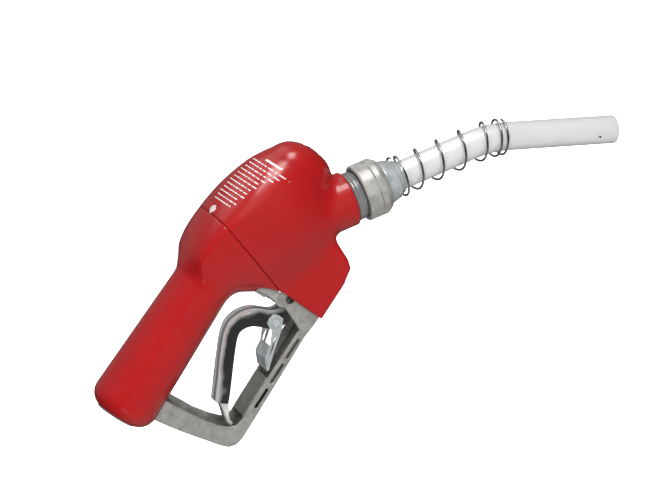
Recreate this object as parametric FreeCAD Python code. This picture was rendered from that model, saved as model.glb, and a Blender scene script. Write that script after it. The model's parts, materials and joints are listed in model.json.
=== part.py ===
import FreeCAD, Part
import math
import os

# Automatic fuel nozzle, in millimetres.  The origin is the centre of the inlet
# thread's mouth at the rear of the handle.  +X runs along the handle towards the
# spout, +Z is up, and the lever and its guard hang below the handle.

os.makedirs("parts", exist_ok=True)

V = FreeCAD.Vector
X_AXIS = V(1, 0, 0)
Y_AXIS = V(0, 1, 0)
Z_AXIS = V(0, 0, 1)

# ---- driving dimensions -------------------------------------------------------
HANDLE_END_X = 116.0        # where the handle has run into the body
HANDLE_R_REAR = 24.5        # outside of the cover at the rear swell
HANDLE_R_FRONT = 20.6       # outside of the cover where the body begins
REAR_ROUND = 12.5           # length of the rounded rear end
COVER_WALL = 2.8            # moulded vinyl thickness
COVER_GAP = 0.2             # air between the cover and the casting
INLET_MOUTH_R = 14.6        # hole in the cover's rear end
INLET_R = 12.2              # wall radius of the 3/4 inch inlet thread
INLET_DEPTH = 15.0          # depth of the thread
SEAT_R = 12.6               # relief behind the thread, for the gasket and strainer
SEAT_DEPTH = 20.0
FLOW_R = 9.0                # flow passage through the handle
FLOW_Z = 1.5

SEAM_TOP_X = 152.5          # joint plane between the rear and front covers
SEAM_TOP_Z = 17.0
SEAM_LEAN = math.radians(15.0)

STEM_X = 129.0              # axis of the main valve
STEM_R = 3.0
CHAMBER_R = 15.0
CHAMBER_TOP_Z = 11.8
SEAT_Z = -8.0
LEVER_TOP_Z = -58.0         # lever web under the stem
STEM_GAP = 0.1

PIVOT_X = 146.0             # lever pivot, carried by the latch plunger
PIVOT_Z = -64.0
PIN_R = 2.4
PLUNGER_R = 4.5
PLUNGER_DROP = 4.0
PLUNGER_TOP_Z = -36.0

LEVER_HALF = 9.0            # half the lever's width
LEVER_SHEET = 1.6
FORK_IN = 10.2              # guard fork, inner and outer half widths
FORK_OUT = 12.6
GUARD_HALF = 13.0
GUARD_WALL = 1.8

CHUNK_HALF = 15.8           # lower front of the cover
CHUNK_REAR_X = 134.4
CHUNK_BOTTOM_Z = -87.0
VENT_TILT = math.radians(22.0)   # the vacuum cap faces forward and down
VENT_X = 181.3
VENT_Z = -69.6
VENT_R = 10.8

SPOUT_TILT = math.radians(36.0)  # spout axis below +X
SPOUT_X = 224.0                  # centre of the spout nut's rear face
SPOUT_Z = -65.0
SPOUT_R = 10.3                   # 13/16 inch tube
SPOUT_WALL = 1.25
SPOUT_RUN = 89.6                 # nut face to the start of the bend
BEND_R = 90.0
BEND = math.radians(19.0)
TIP_RUN = 85.5
NECK_COVER_R = 18.9
NECK_R = 16.4
NUT_LENGTH = 18.0
NUT_FLATS = 38.0
SEAL_STATIONS = (-14.0, -8.0)
CAP_R = 15.4                     # valve chamber's cap

# ---- helpers --------------------------------------------------------------------


def save(shape, node):
    shape.exportStep("parts/" + node + ".step")


def cylinder(radius, start, end):
    """A round bar between two points."""
    run = end - start
    return Part.makeCylinder(radius, run.Length, start, run)


def tube(outer, inner, start, end):
    """A plain tube between two points."""
    run = end - start
    over = run / run.Length
    return cylinder(outer, start, end).cut(cylinder(inner, start - over, end + over))


def side_plate(points, half):
    """Extrude an XZ outline to both sides of the middle plane."""
    corners = [V(x, -half, z) for x, z in points]
    face = Part.Face(Part.makePolygon(corners + corners[:1]))
    return face.extrude(V(0, 2 * half, 0))


def block(x0, x1, half, z0, z1):
    return Part.makeBox(x1 - x0, 2 * half, z1 - z0, V(x0, -half, z0))


def spun(points, base, axis):
    """Revolve a (distance along axis, radius) outline about an axis."""
    corners = [V(along, 0, radius) for along, radius in points]
    face = Part.Face(Part.makePolygon(corners + corners[:1]))
    solid = face.revolve(V(0, 0, 0), X_AXIS, 360)
    solid.Placement = FreeCAD.Placement(base, FreeCAD.Rotation(X_AXIS, axis))
    return solid


def joined(shapes):
    body = shapes[0]
    for extra in shapes[1:]:
        body = body.fuse(extra)
    return body.removeSplitter()


def less(shape, cutters):
    for cutter in cutters:
        shape = shape.cut(cutter)
    return shape


def spout_dir(angle=0.0):
    """Direction of the spout, where angle grows from 0 to BEND through the bend."""
    return V(math.cos(SPOUT_TILT + angle), 0, -math.sin(SPOUT_TILT + angle))


def on_spout(s):
    """Point on the spout's centre line and its direction there."""
    bend_length = BEND_R * BEND
    start = V(SPOUT_X, 0, SPOUT_Z)
    if s <= SPOUT_RUN:
        return start + spout_dir() * s, spout_dir()
    bend_start = start + spout_dir() * SPOUT_RUN
    down = V(-math.sin(SPOUT_TILT), 0, -math.cos(SPOUT_TILT))
    centre = bend_start + down * BEND_R
    angle = min((s - SPOUT_RUN) / BEND_R, BEND)
    up = V(math.sin(SPOUT_TILT + angle), 0, math.cos(SPOUT_TILT + angle))
    point = centre + up * BEND_R
    rest = max(s - SPOUT_RUN - bend_length, 0.0)
    return point + spout_dir(angle) * rest, spout_dir(angle)


SPOUT_END = SPOUT_RUN + BEND_R * BEND + TIP_RUN
VENT_DIR = V(math.cos(VENT_TILT), 0, -math.sin(VENT_TILT))


def at_spout(s):
    return on_spout(s)[0]


def at_vent(depth):
    """Point on the vacuum chamber's axis, depth millimetres behind its cap."""
    return V(VENT_X, 0, VENT_Z) - VENT_DIR * depth


def spout_wire(s0, s1):
    """Centre line of the spout from s0 to s1, as straight runs and one arc."""
    bend_end = SPOUT_RUN + BEND_R * BEND
    middle = SPOUT_RUN + BEND_R * BEND / 2
    edges = [Part.makeLine(at_spout(s0), at_spout(SPOUT_RUN))]
    edges.append(Part.Arc(at_spout(SPOUT_RUN), at_spout(middle), at_spout(bend_end)).toShape())
    edges.append(Part.makeLine(at_spout(bend_end), at_spout(s1)))
    return Part.Wire(edges)


def swept_round(radius, s0, s1):
    point, heading = on_spout(s0)
    ring = Part.Wire(Part.makeCircle(radius, point, heading))
    return spout_wire(s0, s1).makePipeShell([ring], True, False)


def coil(radius, wire_r, base, axis, length, turns):
    """A helical spring with open ends, along axis from base."""
    helix = Part.makeHelix(length / turns, length, radius)
    ring = Part.Wire(Part.makeCircle(wire_r, V(radius, 0, 0), Y_AXIS))
    spring = Part.Wire(helix).makePipeShell([ring], True, True)
    spring.Placement = FreeCAD.Placement(base, FreeCAD.Rotation(Z_AXIS, axis))
    return spring


# ---- cover and casting outlines ---------------------------------------------------


def handle_radius(x, inset):
    share = (x - REAR_ROUND) / (HANDLE_END_X - REAR_ROUND)
    return HANDLE_R_REAR + (HANDLE_R_FRONT - HANDLE_R_REAR) * share - inset


def handle_form(inset):
    """Tapered grip with a rounded rear end."""
    x0 = inset + 0.4 if inset else 0.0
    steps = 6
    points = [(x0, 0.0), (x0, INLET_MOUTH_R)]
    for i in range(1, steps + 1):
        a = math.pi / 2 * i / steps
        x = x0 + (REAR_ROUND - x0) * (1 - math.cos(a))
        swell = handle_radius(REAR_ROUND, inset) - INLET_MOUTH_R
        points.append((x, INLET_MOUTH_R + swell * math.sin(a)))
    points.append((HANDLE_END_X, handle_radius(HANDLE_END_X, inset)))
    points.append((HANDLE_END_X, 0.0))
    return spun(points, V(0, 0, 0), X_AXIS)


# Body stations: x, crown z, rim half width, rim z, flank half width, flank z, belly z
BODY = [
    (112.0, 20.2, 19.6, 4.0, 19.6, -6.0, -20.6),
    (119.0, 21.0, 21.2, 9.5, 20.4, -5.5, -27.0),
    (126.0, 22.6, 23.6, 14.5, 22.2, -6.0, -39.0),
    (136.0, 25.0, 27.0, 16.0, 25.0, -8.0, -49.5),
    (150.0, 25.4, 30.0, 13.5, 28.0, -12.0, -55.0),
    (166.0, 25.0, 31.8, 9.0, 29.6, -16.0, -59.0),
    (180.0, 23.7, 31.3, 1.0, 28.5, -22.0, -60.0),
    (192.0, 21.6, 29.4, -5.5, 25.6, -27.0, -57.0),
    (204.0, 17.6, 26.0, -9.0, 21.6, -29.0, -51.0),
    (216.0, 10.6, 20.0, -11.5, 16.4, -27.0, -42.0),
    (226.0, 0.5, 11.6, -14.5, 9.6, -23.0, -31.0),
    (230.5, -9.0, 3.6, -16.5, 3.0, -20.0, -24.0),
]


def body_form(inset):
    """Crowned cap over a rounded belly, lofted through the body stations."""
    wires = []
    for x, crown, rim, rim_z, flank, flank_z, belly in BODY:
        rim = max(rim - inset, 1.6)
        flank = max(flank - inset, 1.4)
        top = max(crown - inset, rim_z + 1.5)
        low = min(belly + inset, flank_z - 1.5)
        right = [
            (0.62 * rim, top - 0.20 * (top - rim_z)),
            (rim, rim_z),
            (flank, flank_z),
            (0.66 * flank, low + 0.22 * (flank_z - low)),
        ]
        around = [(0.0, top)] + right + [(0.0, low)]
        around += [(-y, z) for y, z in reversed(right)]
        curve = Part.BSplineCurve()
        curve.interpolate([V(x, y, z) for y, z in around], PeriodicFlag=True)
        wires.append(Part.Wire(curve.toShape()))
    form = Part.makeLoft(wires, True, False)
    if inset:
        form = form.common(block(0, 230.5 - inset, 60, -100, 60))
    return form


def chunk_form(inset, rear_x):
    """Flat-sided lower front of the cover, from the belly down to the guard."""
    face = inset / math.cos(VENT_TILT)
    points = [
        (rear_x, -44.0),
        (rear_x, CHUNK_BOTTOM_Z + inset),
        (166.0, CHUNK_BOTTOM_Z + inset),
        (174.0 - inset, -83.5 + inset),
        (177.4 - face, -79.5),
        (186.2 - face, -57.8),
        (186.2 - face, -44.0),
    ]
    return side_plate(points, CHUNK_HALF - inset)


def neck_form(radius, end):
    return cylinder(radius, at_spout(-62), at_spout(end))


def shell_form(inset, chunk_rear):
    return joined([
        body_form(inset),
        handle_form(inset),
        neck_form(NECK_COVER_R - inset, -8.0 if not inset else -5.0),
        chunk_form(inset, chunk_rear),
    ])


def front_half(x_shift):
    """Everything ahead of the seam plane."""
    lean = math.tan(SEAM_LEAN)
    high = 60.0
    top_x = SEAM_TOP_X + x_shift + (high - SEAM_TOP_Z) * lean
    low = -49.0
    low_x = SEAM_TOP_X + x_shift + (low - SEAM_TOP_Z) * lean
    points = [
        (top_x, high),
        (low_x, low),
        (CHUNK_REAR_X + x_shift - 0.4, low),
        (CHUNK_REAR_X + x_shift - 0.4, -100.0),
        (300.0, -100.0),
        (300.0, high),
    ]
    return side_plate(points, 60)


def make_covers():
    outer = shell_form(0.0, CHUNK_REAR_X)
    inner = shell_form(COVER_WALL, 118.0)
    arch = block(118.0, 138.0, GUARD_HALF + 0.2, -100.0, -32.0)
    holes = [
        cylinder(INLET_MOUTH_R, V(-1, 0, 0), V(8, 0, 0)),
        cylinder(VENT_R + 0.4, at_vent(8), at_vent(-10)),
        arch,
        block(15, 26, 6.6, -30, -15),
    ]
    cover = less(outer.cut(inner), holes)
    front = cover.common(front_half(0.1))
    rear = cover.cut(front_half(-0.1))
    save(largest(front), "front_cover")
    save(largest(rear), "rear_cover")


def largest(shape):
    """The main solid of a cut, without stray offcuts."""
    return sorted(shape.Solids, key=lambda s: s.Volume)[-1]


def make_casting():
    """Body casting: grip, valve chamber, spout socket, latch lug and vacuum boss."""
    inset = COVER_WALL + COVER_GAP + 0.3
    body = joined([
        handle_form(inset),
        cylinder(INLET_MOUTH_R - COVER_GAP, V(0.3, 0, 0), V(8, 0, 0)),
        body_form(inset),
        neck_form(NECK_COVER_R - inset, -8.2),
        cylinder(NECK_R - 0.6, at_spout(-10), at_spout(-0.2)),
        cylinder(13.8, at_spout(-1), at_spout(NUT_LENGTH - 4)),
        side_plate([(127, -30), (127, -81.4), (168, -81.4), (170, -79), (170, -30)], FORK_IN - 0.2),
        cylinder(VENT_R - 0.1, at_vent(17), at_vent(3.05)),
    ])
    flow = [
        cylinder(INLET_R, V(-1, 0, 0), V(INLET_DEPTH, 0, 0)),
        cylinder(SEAT_R, V(INLET_DEPTH, 0, 0), V(SEAT_DEPTH, 0, 0)),
        cylinder(FLOW_R, V(SEAT_DEPTH - 1, 0, 0), V(STEM_X, 0, FLOW_Z)),
        cylinder(CHAMBER_R, V(STEM_X, 0, SEAT_Z - 3), V(STEM_X, 0, 60)),
        cylinder(CAP_R + 0.3, V(STEM_X, 0, CHAMBER_TOP_Z), V(STEM_X, 0, 60)),
        cylinder(8.4, V(STEM_X, 0, -22), V(STEM_X, 0, SEAT_Z)),
        cylinder(7.0, V(STEM_X, 0, -15), V(166, 0, -19)),
        cylinder(9.0, at_spout(-77), at_spout(30)),
        cylinder(SPOUT_R + 0.25, at_spout(-24), at_spout(30)),
    ]
    works = [
        cylinder(6.1, V(STEM_X, 0, -60), V(STEM_X, 0, -26)),
        cylinder(STEM_R + 0.3, V(STEM_X, 0, -60), V(STEM_X, 0, -20)),
        block(118.0, STEM_X + 8.6, GUARD_HALF + 0.4, -90.0, -42.6),
        block(118.0, 153.6, FORK_IN, -90.0, -55.0),
        block(118.0, 158.4, FORK_OUT + 0.2, -90.0, -49.8).cut(block(110, 160, FORK_IN - 0.2, -91, -40)),
        cylinder(PLUNGER_R + 0.05, V(PIVOT_X, 0, -56), V(PIVOT_X, 0, -34)),
        cylinder(2.25, at_vent(38), at_vent(10)),
        cylinder(8.2, at_vent(9), at_vent(-2)),
        cylinder(5.4, at_vent(16), at_vent(8)),
        cylinder(2.6, V(20.5, 0, -30), V(20.5, 0, -13.6)),
        cylinder(1.6, V(154.0, -15, -76), V(154.0, 15, -76)),
    ]
    grooves = [Part.makeTorus(SPOUT_R - 0.2, 0.9, at_spout(s), spout_dir()) for s in SEAL_STATIONS]
    save(largest(less(body, flow + works + grooves)), "body_casting")


# ---- valve ------------------------------------------------------------------------


def make_main_cap():
    base = V(STEM_X, 0, 0)
    plug = tube(CHAMBER_R - 0.1, 10.0, V(STEM_X, 0, 7.0), V(STEM_X, 0, CHAMBER_TOP_Z + 0.1))
    lid = cylinder(CAP_R, V(STEM_X, 0, CHAMBER_TOP_Z + 0.1), V(STEM_X, 0, CHAMBER_TOP_Z + 3.8))
    socket = block(-5, 5, 5, CHAMBER_TOP_Z + 2.2, CHAMBER_TOP_Z + 6)
    socket.translate(base)
    save(joined([plug, lid]).cut(socket), "main_valve_cap")
    ring = Part.makeTorus(CHAMBER_R - 1.2, 0.9, V(STEM_X, 0, 6.0), Z_AXIS)
    save(ring, "main_cap_seal")


def make_seat():
    body = tube(CHAMBER_R - 0.1, 8.4, V(STEM_X, 0, SEAT_Z - 2.8), V(STEM_X, 0, SEAT_Z - 0.3))
    lip = tube(9.6, 8.4, V(STEM_X, 0, SEAT_Z - 0.4), V(STEM_X, 0, SEAT_Z + 0.6))
    save(joined([body, lip]), "main_valve_seat")


def make_stem():
    """Main valve: the stem, its foot on the lever, and the poppet disc."""
    rod = cylinder(STEM_R, V(STEM_X, 0, LEVER_TOP_Z + 3), V(STEM_X, 0, SEAT_Z + 4))
    foot = Part.makeSphere(3.4, V(STEM_X, 0, LEVER_TOP_Z + STEM_GAP + 3.4))
    disc = cylinder(12.0, V(STEM_X, 0, SEAT_Z + 2.4), V(STEM_X, 0, SEAT_Z + 5.0))
    hub = cylinder(6.5, V(STEM_X, 0, SEAT_Z + 5.0), V(STEM_X, 0, SEAT_Z + 6.8))
    save(joined([rod, foot, disc, hub]), "valve_stem")
    ring = tube(11.2, STEM_R, V(STEM_X, 0, SEAT_Z + 0.7), V(STEM_X, 0, SEAT_Z + 2.4))
    save(ring, "poppet_seal")


def make_gland():
    """Packing nut that guides the stem, and its packing ring."""
    nut = cylinder(6.0, V(STEM_X, 0, -43.2), V(STEM_X, 0, -29.6))
    head = hexagon(14.0, V(STEM_X, 0, -46.6), V(STEM_X, 0, -42.8))
    bore = cylinder(STEM_R + 0.05, V(STEM_X, 0, -60), V(STEM_X, 0, -20))
    save(joined([nut, head]).cut(bore), "packing_nut")
    ring = tube(6.0, STEM_R + 0.05, V(STEM_X, 0, -29.4), V(STEM_X, 0, -26.2))
    save(ring, "stem_packing")


def hexagon(flats, start, end):
    """A hexagonal bar between two points."""
    radius = flats / math.sqrt(3)
    corners = [V(0, radius * math.cos(math.pi / 3 * i), radius * math.sin(math.pi / 3 * i)) for i in range(7)]
    run = end - start
    bar = Part.Face(Part.makePolygon(corners)).extrude(X_AXIS * run.Length)
    bar.Placement = FreeCAD.Placement(start, FreeCAD.Rotation(X_AXIS, run))
    return bar


def make_main_spring():
    base = V(STEM_X, 0, SEAT_Z + 5.8)
    save(coil(8.4, 0.7, base, Z_AXIS, 13.2, 4), "main_spring")


# ---- latch ------------------------------------------------------------------------


def make_plunger():
    """Latch plunger: a round bar with a flat eye that carries the lever's pin."""
    bar = cylinder(PLUNGER_R, V(PIVOT_X, 0, -57.5), V(PIVOT_X, 0, PLUNGER_TOP_Z - 4.4))
    eye = side_plate([(141.6, -68.0), (150.4, -68.0), (150.4, -57.4), (141.6, -57.4)], 4.2)
    hole = cylinder(PIN_R, V(PIVOT_X, -6, PIVOT_Z), V(PIVOT_X, 6, PIVOT_Z))
    save(joined([bar, eye]).cut(hole), "latch_plunger")
    pin = cylinder(PIN_R, V(PIVOT_X, -LEVER_HALF - 0.6, PIVOT_Z), V(PIVOT_X, LEVER_HALF + 0.6, PIVOT_Z))
    save(pin, "lever_pin")
    save(coil(2.6, 0.5, V(PIVOT_X, 0, -39.8), Z_AXIS, 5.2, 4), "plunger_spring")


def make_vent():
    """Vacuum chamber: cap, screws, diaphragm, latch pin and its spring."""
    cap = cylinder(VENT_R, at_vent(1.9), at_vent(-1.6))
    crown = cylinder(6.0, at_vent(-1.5), at_vent(-3.2))
    side = V(math.sin(VENT_TILT), 0, math.cos(VENT_TILT))
    angles = [math.pi / 4 + math.pi / 2 * i for i in range(4)]
    seats = [Y_AXIS * (8.7 * math.cos(a)) + side * (8.7 * math.sin(a)) for a in angles]
    holes = [cylinder(1.3, at_vent(6) + seat, at_vent(-4) + seat) for seat in seats]
    save(less(joined([cap, crown]), holes), "vacuum_cap")
    screws = []
    for seat in seats:
        shank = cylinder(1.2, at_vent(1.8) + seat, at_vent(-1.7) + seat)
        head = cylinder(1.8, at_vent(-1.65) + seat, at_vent(-2.8) + seat)
        screws.append(joined([shank, head]))
    save(Part.makeCompound(screws), "vacuum_cap_screws")
    save(tube(VENT_R - 0.2, 1.75, at_vent(3.0), at_vent(2.0)), "diaphragm")
    pin = cylinder(2.2, at_vent(31.4), at_vent(15))
    rod = cylinder(1.7, at_vent(15.5), at_vent(4.0))
    plate = cylinder(6.4, at_vent(6.4), at_vent(4.8))
    save(joined([pin, rod, plate]), "latch_pin")
    save(coil(3.8, 0.5, at_vent(15.2), VENT_DIR, 7.8, 4), "latch_spring")


# ---- lever, clip and guard ----------------------------------------------------------

LEVER_TOP = [
    (150.4, -59.4), (134.0, -58.0), (123.0, -58.0), (118.6, -55.0), (115.2, -46.0), (110.0, -39.0),
    (103.0, -34.8), (93.5, -33.2), (84.0, -36.0), (71.0, -43.2), (55.0, -51.9), (45.0, -57.2),
]
LEVER_LOW = [
    (50.0, -64.0), (64.0, -55.8), (83.0, -45.2), (92.0, -41.4), (100.0, -43.4), (105.0, -49.4),
    (109.0, -57.0), (116.0, -65.0), (126.0, -69.0), (150.4, -69.0),
]


def shifted(points, gap):
    """Move an open outline sideways by gap, to its right."""
    moved = []
    for i, (x, z) in enumerate(points):
        x0, z0 = points[max(i - 1, 0)]
        x1, z1 = points[min(i + 1, len(points) - 1)]
        run = math.hypot(x1 - x0, z1 - z0)
        moved.append((x + gap * (z1 - z0) / run * -1.0, z + gap * (x1 - x0) / run))
    return moved


def make_lever():
    """Pressed channel lever with a narrow tail that rests in the guard's corner."""
    body = side_plate(LEVER_TOP + LEVER_LOW, LEVER_HALF)
    under = shifted(LEVER_TOP, LEVER_SHEET)
    hollow = side_plate([(156, under[0][1])] + under + [(40, -60), (40, -90), (156, -90)],
                        LEVER_HALF - LEVER_SHEET)
    tail = side_plate([(46.5, -58.0), (45.6, -56.9), (37.0, -66.0), (34.0, -74.6), (36.6, -75.4),
                       (39.6, -67.4), (47.6, -59.2)], 5.6)
    pin_hole = cylinder(PIN_R + 0.05, V(PIVOT_X, -12, PIVOT_Z), V(PIVOT_X, 12, PIVOT_Z))
    rivet_hole = cylinder(1.55, V(CLIP_X, -12, CLIP_Z), V(CLIP_X, 12, CLIP_Z))
    eye_slot = block(139.6, 156.0, 5.2, -80.0, -50.0)
    shape = less(joined([body.cut(hollow), tail]), [pin_hole, rivet_hole, eye_slot])
    save(largest(shape), "lever")
    near = LEVER_HALF - LEVER_SHEET - 0.1
    save(tube(2.0, 1.55, V(CLIP_X, -near, CLIP_Z), V(CLIP_X, near, CLIP_Z)), "clip_spacer")


CLIP_X = 114.6              # hold-open clip's rivet
CLIP_Z = -59.2
CLIP_TIP_X = 81.5
CLIP_TIP_Z = -74.6


def make_rivet():
    """Shouldered rivet through both sides of the lever, with round heads."""
    shank = cylinder(1.5, V(CLIP_X, -11.4, CLIP_Z), V(CLIP_X, 11.4, CLIP_Z))
    heads = [cylinder(2.6, V(CLIP_X, s * 11.3, CLIP_Z), V(CLIP_X, s * 12.4, CLIP_Z)) for s in (-1, 1)]
    save(joined([shank] + heads), "clip_rivet")


def make_clip():
    """Hold-open clip: a folded blade on each side, joined by a web near the tip."""
    blade = side_plate([
        (118.6, -56.0), (118.8, -61.4), (112.6, -65.4), (98.0, -70.6), (CLIP_TIP_X + 1.5, CLIP_TIP_Z - 0.4),
        (CLIP_TIP_X, CLIP_TIP_Z), (CLIP_TIP_X + 3.0, CLIP_TIP_Z + 2.8), (94.0, -66.0), (108.0, -59.0),
        (112.0, -55.4),
    ], 11.0)
    gap = side_plate([(80, -40), (125, -40), (125, -80), (80, -80)], 9.4)
    web = side_plate([
        (CLIP_TIP_X + 1.5, CLIP_TIP_Z - 0.4), (CLIP_TIP_X, CLIP_TIP_Z), (CLIP_TIP_X + 1.5, CLIP_TIP_Z + 1.4),
        (98.4, -69.2), (98.0, -70.6),
    ], 9.6)
    hole = cylinder(1.55, V(CLIP_X, -14, CLIP_Z), V(CLIP_X, 14, CLIP_Z))
    save(joined([blade.cut(gap), web]).cut(hole), "hold_open_clip")
    spring = coil(2.6, 0.45, V(CLIP_X, -7.0, CLIP_Z), Y_AXIS, 3.6, 3)
    save(spring, "clip_spring")


def guard_outline():
    return [
        (12.0, -16.0), (13.6, -30.0), (15.4, -46.0), (18.2, -62.0), (20.6, -75.0), (23.2, -81.0),
        (27.4, -84.4), (33.0, -85.6), (51.0, -84.9), (72.0, -84.1), (99.0, -83.2), (117.0, -82.8),
        (123.0, -84.4), (130.0, -84.0), (158.0, -84.0), (158.0, -50.0), (127.0, -50.0), (126.2, -60.0),
        (118.6, -77.0), (117.0, -76.4), (91.0, -76.2), (56.0, -76.8), (43.0, -77.6), (37.6, -76.6),
        (34.4, -72.6), (32.2, -66.0), (30.4, -54.0), (29.4, -42.0), (28.6, -30.0), (28.0, -16.0),
    ]


def make_guard():
    """Cast lever guard: fork, slotted bar and an open rear leg."""
    body = side_plate(guard_outline(), GUARD_HALF)
    inner = GUARD_HALF - GUARD_WALL
    wall = 2.0
    leg = side_plate([
        (12.0 + wall + 1, -31.0), (15.4 + wall, -46.0), (18.2 + wall, -62.0), (20.6 + wall, -74.0),
        (24.6 + wall, -80.4), (33.0, -83.2), (46.0, -82.8), (46.0, -70.0), (60.0, -60.0), (60.0, -31.0),
    ], inner)
    hollow = side_plate([(47.6, -82.9), (47.6, -79.0), (76.4, -78.5), (76.4, -81.6)], inner)
    trough = side_plate([(78.0, -81.5), (78.0, -70.0), (125.0, -70.0), (118.0, -80.6)], inner)
    fork = block(110.0, 160.0, FORK_IN, -81.6, -30.0)
    slots = []
    for i in range(3):
        z = -81.0 - 0.4 * (2 - i) * 0.9
        x = 55.6 + 20.7 * i
        slots.append(block(x + 1.2, x + 15.2, 20, z - 1.15, z + 1.15))
        slots += [cylinder(1.15, V(x + e, -20, z), V(x + e, 20, z)) for e in (1.2, 15.2)]
    cuts = [leg, hollow, trough, fork] + slots
    cuts.append(cylinder(3.2, V(133.6, -20, -58.6), V(133.6, 20, -58.6)))
    cuts.append(cylinder(1.7, V(154.0, -20, -76.0), V(154.0, 20, -76.0)))
    cuts.append(block(10, 35, 20, -17.0, 0))
    cuts.append(Part.makeCone(handle_radius(5, -0.05), handle_radius(35, -0.05), 30, V(5, 0, 0), X_AXIS))
    cuts.append(cylinder(2.7, V(20.5, 0, -40), V(20.5, 0, -10)))
    wide = side_plate([(126.0, -40), (126.0, -62.0), (119.6, -76.4), (128, -84.5), (129, -100), (165, -100), (165, -40)], 20)
    wide = wide.cut(side_plate([(110, -30), (110, -110), (170, -110), (170, -30)], FORK_OUT))
    cuts.append(wide)
    save(largest(less(body, cuts)), "lever_guard")


def make_guard_screws():
    rear = joined([
        cylinder(2.5, V(20.5, 0, -31.0), V(20.5, 0, -14.0)),
        cylinder(4.4, V(20.5, 0, -34.0), V(20.5, 0, -31.0)),
    ])
    fronts = []
    for side in (-1, 1):
        fronts.append(cylinder(1.6, V(154.0, side * 10.3, -76.0), V(154.0, side * 12.5, -76.0)))
    save(Part.makeCompound([rear] + fronts), "guard_screws")


# ---- spout --------------------------------------------------------------------------


def make_nut():
    """Spout nut: a plain collar, a groove and two hexagonal tiers."""
    low = NUT_FLATS / 2
    collar = cylinder(low - 1.2, at_spout(0.0), at_spout(2.2))
    groove = cylinder(low - 2.4, at_spout(2.0), at_spout(4.2))
    tier = hexagon(NUT_FLATS, at_spout(4.0), at_spout(13.0))
    round_off = spun([(0, 0), (0, 19.6), (1.6, 21.2), (8.0, 21.2), (9.2, 20.2), (9.2, 0)], at_spout(3.9), spout_dir())
    tier = tier.common(round_off)
    step = cylinder(low - 1.8, at_spout(12.8), at_spout(NUT_LENGTH))
    bore = cylinder(13.9, at_spout(-1), at_spout(NUT_LENGTH - 3))
    mouth = cylinder(12.6, at_spout(-1), at_spout(NUT_LENGTH + 1))
    save(joined([collar, groove, tier, step]).cut(bore).cut(mouth), "spout_nut")


def make_bushing():
    """Tapered collar that clamps the spout tube under the nut."""
    start = at_spout(0)
    outline = [(15.2, SPOUT_R), (15.2, 12.4), (18.2, 12.4), (18.2, 14.0), (20.4, 14.2), (27.0, 13.4),
               (30.0, 12.2), (30.0, SPOUT_R)]
    save(spun(outline, start, spout_dir()), "spout_bushing")


def make_spout():
    outer = swept_round(SPOUT_R, -20.0, SPOUT_END)
    bore = swept_round(SPOUT_R - SPOUT_WALL, -21.0, SPOUT_END + 1.0)
    point, heading = on_spout(SPOUT_END - 16.0)
    sensing = cylinder(1.7, point, point + V(0, -20, 0) - V(0, 0, 3))
    save(outer.cut(bore).cut(sensing), "spout_tube")
    rings = [Part.makeTorus(SPOUT_R - 0.2, 0.8, at_spout(s), spout_dir()) for s in SEAL_STATIONS]
    blank = swept_round(SPOUT_R, -20.0, SPOUT_END)
    save(Part.makeCompound([ring.cut(blank) for ring in rings]), "spout_seals")


def spout_frame(s):
    point, heading = on_spout(s)
    up = V(-heading.z, 0, heading.x)
    return point, up


COIL_WIRE = 0.85
# Station along the spout and radius of the anchor spring's wire after each whole turn.
COIL = [(28.4, 14.9), (32.6, 14.2), (48.4, 13.4), (65.6, 13.3),
        (84.0, 13.3), (101.4, 13.2), (111.0, 12.9), (114.6, 12.6)]


def coil_at(turn):
    """Station and radius of the wire after so many turns."""
    first = min(int(turn), len(COIL) - 2)
    share = turn - first
    low, high = COIL[first], COIL[first + 1]
    return low[0] + (high[0] - low[0]) * share, low[1] + (high[1] - low[1]) * share


def make_anchor_spring():
    """Wire spring around the spout, which anchors it in a filler neck."""
    turns = len(COIL) - 1
    steps = turns * 16
    points = []
    for i in range(steps + 1):
        turn = turns * i / steps
        station, radius = coil_at(turn)
        point, up = spout_frame(station)
        a = 2 * math.pi * turn
        points.append(point + up * (radius * math.cos(a)) + Y_AXIS * (radius * math.sin(a)))
    path = Part.BSplineCurve()
    path.interpolate(points)
    line = Part.Wire(path.toShape())
    heading = path.tangent(path.FirstParameter)[0]
    ring = Part.Wire(Part.makeCircle(COIL_WIRE, points[0], heading))
    save(line.makePipeShell([ring], True, True), "anchor_spring")
    point, heading = on_spout(COIL[-1][0] + 2.2)
    save(tube(SPOUT_R + 1.9, SPOUT_R + 0.05, point - heading * 1.1, point + heading * 1.1), "spring_stop")


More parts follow.
